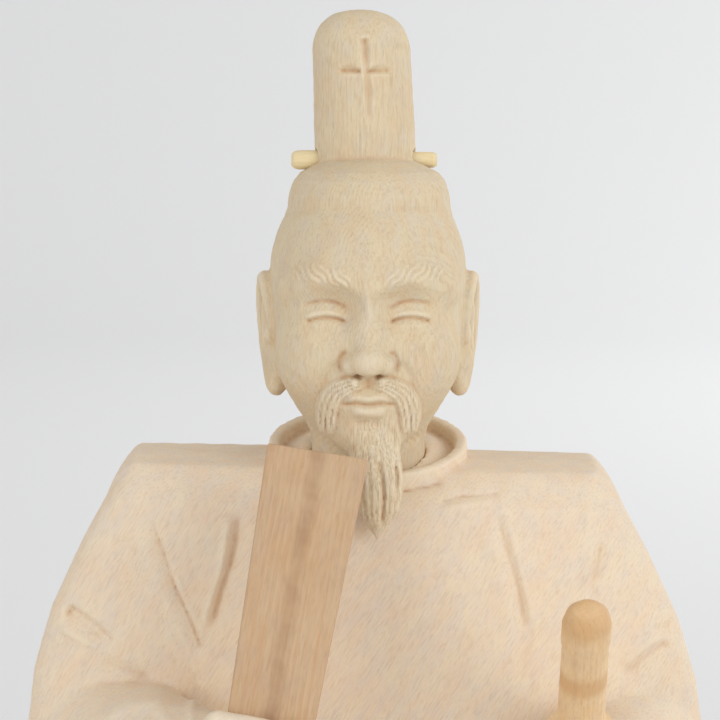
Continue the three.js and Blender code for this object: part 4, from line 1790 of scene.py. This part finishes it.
@dataclass
class Bar:
    """A turned bar of oval section along a straight line of the figure.

    Attributes:
        start: where it starts.
        end: where it ends.
        width: its full width.
        thickness: its full thickness.
        sections: distance along the bar and share of the full width, one pair for each ring.
    """

    start: Spot
    end: Spot
    width: float
    thickness: float
    sections: tuple[Pair, ...]

    @property
    def frame(self) -> Matrix:
        """The bar's own frame in the figure."""
        return frame_of(self.start, self.end)

    def distance(self, p: np.ndarray) -> np.ndarray:
        """Give the distance to the bar, for its socket.

        Args:
            p: points of the figure's frame.

        Returns:
            Distances.
        """
        q = into(self.frame, p)
        heights, shares = zip(*self.sections)
        share = np.interp(q[2], heights, shares)
        across = np.hypot(q[0] / self.width, q[1] / self.thickness) * 2 - share
        return np.maximum(across * self.thickness / 2, np.maximum(-q[2], q[2] - heights[-1])).astype(np.float32)

    def model(self, name: str, sides: int, rounding: float) -> bpy.types.Object:
        """Model the bar ring by ring along its own Z.

        Args:
            name: name of the piece.
            sides: number of its sides.
            rounding: width of the rounding on its edges.

        Returns:
            The piece, in millimetres in its own frame.
        """
        bpy.ops.object.select_all(action="DESELECT")
        bpy.ops.mesh.primitive_circle_add(vertices=sides, radius=0.5, fill_type="NGON")
        piece = bpy.context.object
        piece.name = piece.data.name = name
        bpy.ops.object.mode_set(mode="EDIT")
        bpy.ops.mesh.select_all(action="SELECT")
        (height, share), *rest = self.sections
        bpy.ops.transform.resize(value=(self.width * share, self.thickness * share, 1))
        bpy.ops.transform.translate(value=(0, 0, height))
        for next_height, next_share in rest:
            move = {"value": (0, 0, next_height - height)}
            bpy.ops.mesh.extrude_region_move(TRANSFORM_OT_translate=move)
            bpy.ops.transform.resize(value=(next_share / share, next_share / share, 1))
            height, share = next_height, next_share
        bpy.ops.object.mode_set(mode="OBJECT")
        soften(piece, rounding)
        return piece


def soften(piece: bpy.types.Object, width: float) -> None:
    """Round a piece's edges.

    Args:
        piece: the piece.
        width: width of the rounding.
    """
    bevel = piece.modifiers.new("Rounding", "BEVEL")
    bevel.width = width
    bevel.segments = 3
    bevel.limit_method = "ANGLE"
    bevel.angle_limit = math.radians(24)
    apply_modifiers(piece)


def in_figure(place: Matrix) -> Matrix:
    """Give the place in the model of a frame in the figure."""
    return Matrix.Translation((0, 0, BOARD_HEIGHT)) @ place


@dataclass
class SwordHilt(Bar):
    """The sword's hilt with its guard, collar and pommel cap."""

    def build(self) -> bpy.types.Object:
        """Model and dress the hilt.

        Returns:
            The piece.
        """
        piece = self.model("turned_hilt", 40, 0.28)
        settle(piece, in_figure(self.frame), 40)
        dress(piece, HILT_WOOD, "sword_hilt")
        return piece


@dataclass
class ScabbardEnd(Bar):
    """The end of the scabbard, which comes out behind the hip, with its metal-like cap in wood."""

    def build(self) -> bpy.types.Object:
        """Model and dress the scabbard's end.

        Returns:
            The piece.
        """
        piece = self.model("turned_scabbard", 40, 0.28)
        settle(piece, in_figure(self.frame), 40)
        dress(piece, SCABBARD_WOOD, "sword_scabbard")
        return piece


@dataclass
class HatPin(Bar):
    """The whittled peg that goes through the foot of the hat."""

    def build(self) -> bpy.types.Object:
        """Model and dress the pin.

        Returns:
            The piece.
        """
        piece = self.model("whittled_pin", 14, 0.12)
        place = Matrix.Translation((0, HEAD_Y, EYE_LEVEL)) @ self.frame
        settle(piece, in_figure(place), 20)
        dress(piece, PIN_WOOD, "hat_pin")
        return piece


@dataclass
class Baton:
    """The flat court baton held upright in the right hand.

    Attributes:
        foot: middle of its lower end.
        top: middle of its upper end.
        foot_width: width at the foot.
        top_width: width at the top.
        thickness: its thickness.
        rounding: width of the rounding on its edges.
    """

    foot: Spot = (-19.9, -53, 42)
    top: Spot = (-8.7, -31, 104.9)
    foot_width: float = 13.4
    top_width: float = 17.5
    thickness: float = 2.8
    rounding: float = 0.45

    @property
    def length(self) -> float:
        """Length of the baton."""
        return (Vector(self.top) - Vector(self.foot)).length

    def distance(self, p: np.ndarray) -> np.ndarray:
        """Give the distance to the baton, for its socket.

        Args:
            p: points of the figure's frame.

        Returns:
            Distances.
        """
        x, y, z = into(BATON_FRAME, p)
        half = (self.foot_width + (self.top_width - self.foot_width) * z / self.length) / 2
        ends = np.maximum(-z, z - self.length)
        return np.maximum(np.maximum(np.abs(x) - half, np.abs(y) - self.thickness / 2), ends)

    def build(self) -> bpy.types.Object:
        """Model and dress the baton.

        Returns:
            The piece.
        """
        bpy.ops.object.select_all(action="DESELECT")
        bpy.ops.mesh.primitive_cube_add(size=1, location=(0, 0, self.length / 2))
        piece = bpy.context.object
        piece.name = piece.data.name = "court_baton"
        piece.scale = (self.foot_width, self.thickness, self.length)
        bpy.ops.object.transform_apply(location=True, rotation=True, scale=True)
        bpy.ops.object.mode_set(mode="EDIT")
        choose(piece, lambda middle: middle.z > self.length - 0.1)
        bpy.ops.transform.resize(value=(self.top_width / self.foot_width, 1, 1))
        bpy.ops.object.mode_set(mode="OBJECT")
        soften(piece, self.rounding)
        bpy.ops.object.mode_set(mode="EDIT")
        bpy.ops.mesh.select_all(action="SELECT")
        bpy.ops.mesh.subdivide(number_cuts=7)
        bpy.ops.object.mode_set(mode="OBJECT")
        settle(piece, in_figure(BATON_FRAME), 35)
        dress(piece, BATON_WOOD, "shaku")
        return piece


@dataclass
class Board:
    """The low board that the figure sits on.

    Attributes:
        width: its width.
        depth: its depth.
        corner: radius of its corners.
        chamfer: width of the chamfer round its top and its foot.
    """

    width: float = 176.0
    depth: float = 132.0
    corner: float = 5.0
    chamfer: float = 1.4

    def build(self) -> bpy.types.Object:
        """Model and dress the board.

        Returns:
            The piece.
        """
        bpy.ops.object.select_all(action="DESELECT")
        bpy.ops.mesh.primitive_cube_add(size=1, location=(0, 0, BOARD_HEIGHT / 2))
        piece = bpy.context.object
        piece.name = piece.data.name = "low_board"
        piece.scale = (self.width, self.depth, BOARD_HEIGHT)
        bpy.ops.object.transform_apply(location=True, rotation=True, scale=True)
        bpy.ops.object.mode_set(mode="EDIT")
        choose(piece, lambda middle: abs(middle.z - BOARD_HEIGHT / 2) < 1, "EDGE")
        bpy.ops.mesh.bevel(offset=self.corner, segments=6)
        choose(piece, lambda middle: abs(middle.z - BOARD_HEIGHT / 2) > 1, "EDGE")
        bpy.ops.mesh.bevel(offset=self.chamfer, segments=1)
        bpy.ops.object.mode_set(mode="OBJECT")
        soften(piece, 0.25)
        settle(piece, Matrix.Identity(4), 30)
        dress(piece, BOARD_WOOD, "plinth")
        return piece


def dress(piece: bpy.types.Object, wood: "Wood", node: str) -> None:
    """Give a piece its wood, and let it ride on the figure in place of its solid.

    Args:
        piece: the piece.
        wood: its finish.
        node: the solid that the piece stands for.
    """
    piece.data.materials.clear()
    piece.data.materials.append(wood.material())
    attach(piece, "root")
    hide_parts(node)


BATON = Baton()
BATON_FRAME = frame_of(BATON.foot, BATON.top)
LEFT_HAND = (28.5, -46.0, 32.0)
PIN_PLACE = (2.6, 26.2)
HILT_LENGTH = 57.4
GUARD = 0.27 * HILT_LENGTH
HILT = SwordHilt(
    (38, -14, 44), (35.6, -56, 83), 8.2, 6.4,
    (
        (0, 0.8), (GUARD - 1.6, 0.8), (GUARD - 1.5, 1.45), (GUARD, 1.55), (GUARD + 1.5, 1.45),
        (GUARD + 1.6, 1.1), (GUARD + 4.4, 1.1), (GUARD + 4.6, 1.02), (HILT_LENGTH - 10.6, 0.96),
        (HILT_LENGTH - 10.4, 1.02), (HILT_LENGTH - 5, 1.0), (HILT_LENGTH - 2.2, 0.86), (HILT_LENGTH - 0.6, 0.6), (HILT_LENGTH, 0.3),
    ),
)
SCABBARD_LENGTH = 38.2
SCABBARD = ScabbardEnd(
    (41, 26, 33), (49, 62, 23), 8.6, 5.8,
    (
        (0, 0.94), (SCABBARD_LENGTH - 7.2, 0.94), (SCABBARD_LENGTH - 7, 1.05),
        (SCABBARD_LENGTH - 2, 1.05), (SCABBARD_LENGTH, 0.7),
    ),
)
PIN = HatPin(
    (-14, *PIN_PLACE), (12.6, *PIN_PLACE), 3.6, 3.6,
    ((0, 0.6), (0.5, 0.88), (1.2, 0.98), (5, 1.0), (16, 0.9), (25.9, 0.8), (26.6, 0.6)),
)
baton_field = BATON.distance
hilt_field = HILT.distance
scabbard_field = SCABBARD.distance

# The head's wood paints shade into the knife lines of its hair and highlight between them.
HEAD_WOOD = HairedWood("head_wood", Tones("dfcfae", "dcc3a0", "d8cdbb"), "b18d63", Matrix.Identity(4), (-48, 44), 0.62, 0.22, 0.65)
ROBE_LOG = Matrix.Rotation(math.radians(31), 4, "Y")
ROBE_WOOD = Wood("robe_wood", Tones("efdec3", "edd3b6", "e4d7ca"), "bb9b7c", ROBE_LOG, (-160, 40), 0.62, 0.12, 0.55)
BATON_WOOD = StreakedWood("baton_wood", Tones("cfb18e", "caa680", "c4a88c"), "9f7854", in_figure(BATON_FRAME), (-70, 12), 1.1, 0.3, 0.5)
# The hilt's grip has two bands of painted shadow.
HILT_WOOD = BandedWood(
    "hilt_wood", Tones("f4d8ae", "ecc795", "e8ceac"), "b88a5a", in_figure(HILT.frame), (20, 14), 0.9, 0.25, 0.5, Shine.HANDLED,
    shadow_bands=((55.0, 6.5), (35.5, 4.5)),
)
SCABBARD_WOOD = Wood("scabbard_wood", Tones("eccda2", "e6bf8c", "dfc4a1"), "b88a5a", in_figure(SCABBARD.frame), (20, 14), 0.9, 0.25, 0.5, Shine.HANDLED)
PIN_WOOD = Wood("pin_wood", Tones("f0dfb4", "ecd29c", "e6d6b4"), "cba86c", in_figure(Matrix.Translation((0, HEAD_Y, EYE_LEVEL)) @ PIN.frame), (9, 4), 0.7, 0.2, 0.4)
BOARD_LOG = Matrix.Rotation(math.radians(90), 4, "Y")
BOARD_WOOD = Wood("board_wood", Tones("d9bc92", "cda97c", "cbb18f"), "a57e55", BOARD_LOG, (60, 25), 1.9, 0.4, 0.5, Shine.HANDLED)

COLLAR_FOOT = Stroke(((-13.4, 96.8), (-9.5, 95.9), (0, 94.9), (9.5, 95.9), (13.4, 96.8)), -0.55, 0.42, (0.08, 0.08))
LEFT_CREASE = ((-39.9, 92.6), (-37.6, 86.8), (-35.9, 82.3), (-34.2, 77.7), (-32.2, 73.7), (-30.5, 69.1), (-30.0, 67.1))
LEFT_FOLDS = (
    Stroke(LEFT_CREASE, -0.7, 0.55, (0.15, 0.08)),
    Stroke(((-35.5, 82.6), (-33.6, 78.3), (-31.7, 74.0), (-29.8, 69.0)), 0.55, 0.55),
    Stroke(((-42.3, 91.5), (-40.6, 86.5), (-38.6, 81.0), (-36.4, 76.0), (-34.2, 71.5), (-31.6, 66.5)), 0.75, 1.4),
    Stroke(((-34.6, 72.2), (-32.6, 68.0), (-30.6, 62.5), (-29.6, 58.0)), 0.6, 0.8),
    Stroke(((-44.8, 87.8), (-44.0, 84.0), (-42.4, 80.2), (-39.4, 75.4)), -0.8, 1.6),
    Stroke(((-23.7, 92.7), (-23.5, 88.4), (-24.4, 83.7), (-25.9, 79.1), (-27.0, 75.3), (-28.5, 69.7)), -1.05, 1.0, (0.15, 0.15)),
    Stroke(((-24.6, 91.5), (-25.3, 88.4), (-26.2, 82.5), (-27.6, 78.2), (-28.9, 73.8), (-29.9, 68.0)), 1.2, 0.75),
    Stroke(((-55.0, 73.3), (-52.0, 71.6), (-49.4, 69.7), (-46.8, 67.7)), -1.3, 1.1, (0.1, 0.25)),
    Stroke(((-54.3, 74.4), (-50.8, 72.3), (-47.9, 70.1), (-45.3, 67.6)), -0.8, 0.5, (0.1, 0.2)),
    Stroke(((-56.0, 70.7), (-54.0, 69.5), (-51.6, 68.3), (-49.0, 66.8)), 0.9, 0.8),
    Stroke(((-49.8, 65.2), (-45.4, 63.5), (-41.9, 62.6), (-38.4, 62.4)), -1.0, 1.2),
    Stroke(((-50.8, 54.3), (-45.5, 57.7), (-41.9, 59.9), (-37.8, 61.0), (-35.2, 60.4), (-31.5, 58.0)), 0.8, 1.0),
)
RIGHT_CREASE = ((23.3, 92.0), (23.5, 90.2), (24.3, 87.2), (25.6, 82.7), (26.6, 79.4), (27.4, 75.2), (28.1, 71.3), (28.5, 67.0))
RIGHT_FOLDS = (
    Stroke(RIGHT_CREASE, -0.55, 0.65, (0.1, 0.3)),
    Stroke(((26.8, 78.0), (27.4, 71.9), (27.7, 66.4), (28.0, 59.0)), -0.5, 1.4, (0.35, 0.2)),
    Stroke(((24.9, 90.8), (25.8, 87.4), (27.0, 83.4), (28.0, 79.2), (29.0, 74.7), (29.8, 69.2)), 0.55, 0.85),
    Stroke(((21.4, 91.0), (22.4, 86.0), (23.8, 80.0), (24.8, 74.0), (25.4, 68.0)), 0.5, 1.6),
    Stroke(((12.5, 93.6), (16.3, 94.4), (20.4, 94.7), (23.6, 94.8)), -0.5, 0.45, (0.1, 0.06)),
    Stroke(((12.5, 92.6), (16.3, 93.3), (20.4, 93.6), (22.8, 93.4)), 0.5, 0.75),
    Stroke(((41.9, 86.1), (41.4, 82.5), (40.3, 79.0), (38.6, 76.1)), -0.75, 0.85, (0.12, 0.4)),
    Stroke(((40.5, 86.5), (39.7, 82.6), (38.4, 79.4)), 0.45, 0.8),
    Stroke(((54.5, 67.9), (52.6, 66.7), (50.5, 65.4), (47.5, 62.9), (44.6, 60.2)), -0.9, 1.0, (0.15, 0.3)),
    Stroke(((53.4, 69.4), (50.8, 67.9), (48.0, 65.7), (45.3, 63.2)), 0.9, 1.1),
    Stroke(((55.7, 70.6), (53.2, 70.0), (50.6, 69.4)), -0.5, 0.9),
)


def front_folds() -> tuple[Stroke, ...]:
    """Give the hanging folds of the front: two of the lap and four of each sleeve, on each side.

    Returns:
        The folds.
    """
    folds = []
    for i in range(2):
        foot = (7 + 11 * i, 2)
        folds.append(Stroke(((5 + 7 * i, 38 - 4 * i), (6 + 9 * i, 20), foot), -1.2, 1.4, (0.3, 0.05)))
        folds.append(Stroke(((8.5 + 7 * i, 38 - 4 * i), (10 + 9 * i, 20), (foot[0] + 5, 2)), 1.0, 1.9, (0.3, 0.05)))
    for i in range(4):
        foot = (40 + 9 * i, 2)
        folds.append(Stroke(((43 + 3 * i, 40), (42 + 6 * i, 22), foot), -1.2, 1.4, (0.4, 0.05)))
        folds.append(Stroke(((46 + 3 * i, 40), (46 + 6 * i, 22), (foot[0] + 5, 2)), 1.1, 1.9, (0.4, 0.05)))
    return tuple(folds)


def back_folds() -> tuple[Stroke, ...]:
    """Give the folds of the back: two that run in to the belt and three below it, on each side.

    Returns:
        The folds.
    """
    folds = []
    for i in range(2):
        top = (10 + 17 * i, 88 - 4 * i)
        folds.append(Stroke((top, (8 + 15 * i, 70), (5 + 12 * i, 52)), -1.3, 1.6, (0.5, 0.1), 1.0))
        folds.append(Stroke(((top[0] + 5, 86), (12.5 + 15 * i, 70), (9 + 12 * i, 52)), 1.1, 2.0, (0.5, 0.1), 1.0))
    for i in range(3):
        foot = (9 + 19 * i, 3)
        folds.append(Stroke(((6 + 12 * i, 42), (7 + 15 * i, 24), foot), -1.4, 1.6, (0.15, 0.1), 1.0))
        folds.append(Stroke(((10 + 12 * i, 42), (12 + 15 * i, 24), (foot[0] + 6, 3)), 1.3, 2.4, (0.2, 0.1), 1.0))
    return tuple(folds)


FRONT_FOLDS = front_folds()
BACK_FOLDS = back_folds()


# Floor, light and camera


@dataclass
class Studio:
    """A pale floor that curves up far away, soft light, and the camera of the photograph.

    Attributes:
        target: the point that the camera looks at, in millimetres.
        distance: from the camera to that point.
        elevation: height of the camera above the horizon, in degrees.
        field: width of what it sees at that point.
    """

    target: Spot = (-1.47, 0.0, 129.6)
    distance: float = 450.0
    elevation: float = 6.0
    field: float = 132.5

    def floor(self) -> bpy.types.Object:
        """Make the floor, a wide disc whose rim rises in a smooth curve.

        Returns:
            The floor.
        """
        bpy.ops.object.select_all(action="DESELECT")
        bpy.ops.mesh.primitive_circle_add(vertices=96, radius=1.4, fill_type="NGON")
        floor = bpy.context.object
        floor.name = "floor"
        bpy.ops.object.mode_set(mode="EDIT")
        bpy.ops.mesh.select_all(action="DESELECT")
        bpy.ops.mesh.select_mode(type="EDGE")
        bpy.ops.mesh.select_all(action="SELECT")
        bpy.ops.mesh.region_to_loop()
        radius = 1.4
        for step in range(1, 9):
            turn = math.radians(10 * step)
            grown = 1.4 + 1.0 * math.sin(turn)
            rise = 1.0 * (math.cos(math.radians(10 * (step - 1))) - math.cos(turn))
            bpy.ops.mesh.extrude_edges_move(TRANSFORM_OT_translate={"value": (0, 0, rise)})
            bpy.ops.transform.resize(value=(grown / radius, grown / radius, 1))
            radius = grown
        bpy.ops.mesh.select_all(action="SELECT")
        bpy.ops.mesh.normals_make_consistent(inside=True)
        bpy.ops.object.mode_set(mode="OBJECT")
        bpy.ops.object.shade_smooth()
        graph = Graph("floor_paper")
        shader = graph.add("ShaderNodeBsdfPrincipled", {}, {"Base Color": rgb("eeeff0"), "Roughness": 0.9})
        floor.data.materials.append(graph.finished(shader))
        floor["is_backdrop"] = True
        return floor

    def lamp(self, name: str, place: Spot, aim: Spot, size: float, watts: float, spread: float) -> None:
        """Hang one square soft lamp.

        Args:
            name: its name.
            place: where it hangs, in metres.
            aim: the place that it faces.
            size: length of its sides in metres.
            watts: its power.
            spread: angle over which it throws its light, in degrees.
        """
        lamp = bpy.data.lights.new(name, "AREA")
        lamp.size = size
        lamp.energy = watts
        lamp.spread = math.radians(spread)
        holder = bpy.data.objects.new(name, lamp)
        holder.visible_camera = False
        holder.location = place
        holder.rotation_euler = (Vector(aim) - Vector(place)).to_track_quat("-Z", "Y").to_euler()
        bpy.context.scene.collection.objects.link(holder)

    def light(self) -> None:
        """Light the figure softly from all round, a little more from the upper right."""
        world = bpy.data.worlds.new("soft_room")
        world.use_nodes = True
        back = world.node_tree.nodes["Background"]
        back.inputs["Color"].default_value = (1.0, 0.99, 0.985, 1.0)
        back.inputs["Strength"].default_value = 0.6
        bpy.context.scene.world = world
        self.lamp("key", (1.0, -0.95, 0.5), (0, 0, 0.12), 0.9, 2.9, 110)
        self.lamp("fill", (-1.0, -1.15, 0.45), (0, 0, 0.12), 0.8, 2.15, 110)
        self.lamp("backdrop", (1.1, 0.8, 0.9), (0.5, 1.5, 0.0), 0.9, 9.0, 170)

    def camera(self) -> bpy.types.Object:
        """Set up the camera.

        Returns:
            The camera.
        """
        data = bpy.data.cameras.new("camera")
        data.sensor_width = 36.0
        data.lens = 36.0 * self.distance / self.field
        data.clip_start = 0.01
        camera = bpy.data.objects.new("camera", data)
        rise = math.radians(self.elevation)
        back = Vector((0, -math.cos(rise), math.sin(rise)))
        camera.location = (Vector(self.target) + back * self.distance) * MM
        camera.rotation_euler = (-back).to_track_quat("-Z", "Y").to_euler()
        bpy.context.scene.collection.objects.link(camera)
        bpy.context.scene.camera = camera
        return camera

    def build(self) -> None:
        """Set up the floor, the light and the camera."""
        self.floor()
        self.light()
        self.camera()
        bpy.context.scene.view_settings.view_transform = "Standard"


def write_sizes() -> None:
    """Work out the box of the solids and the box of the finished pieces, in metres; nothing writes them."""
    boxes = {"cad": SOLIDS_BOX, "visual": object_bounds()}
    sizes = {name: [list(corner) for corner in box] for name, box in boxes.items()}


def main() -> None:
    """Build the figure piece by piece, then the studio round it."""
    logging.basicConfig(level=logging.INFO, format="%(name)s: %(message)s")
    Studio().build()
    for maker in (Board(), BATON, HILT, SCABBARD, PIN, Head(), Robe()):
        piece = maker.build()
        log.info("%s: %d faces", piece.name, len(piece.data.polygons))
    write_sizes()


if __name__ == "__main__":
    main()
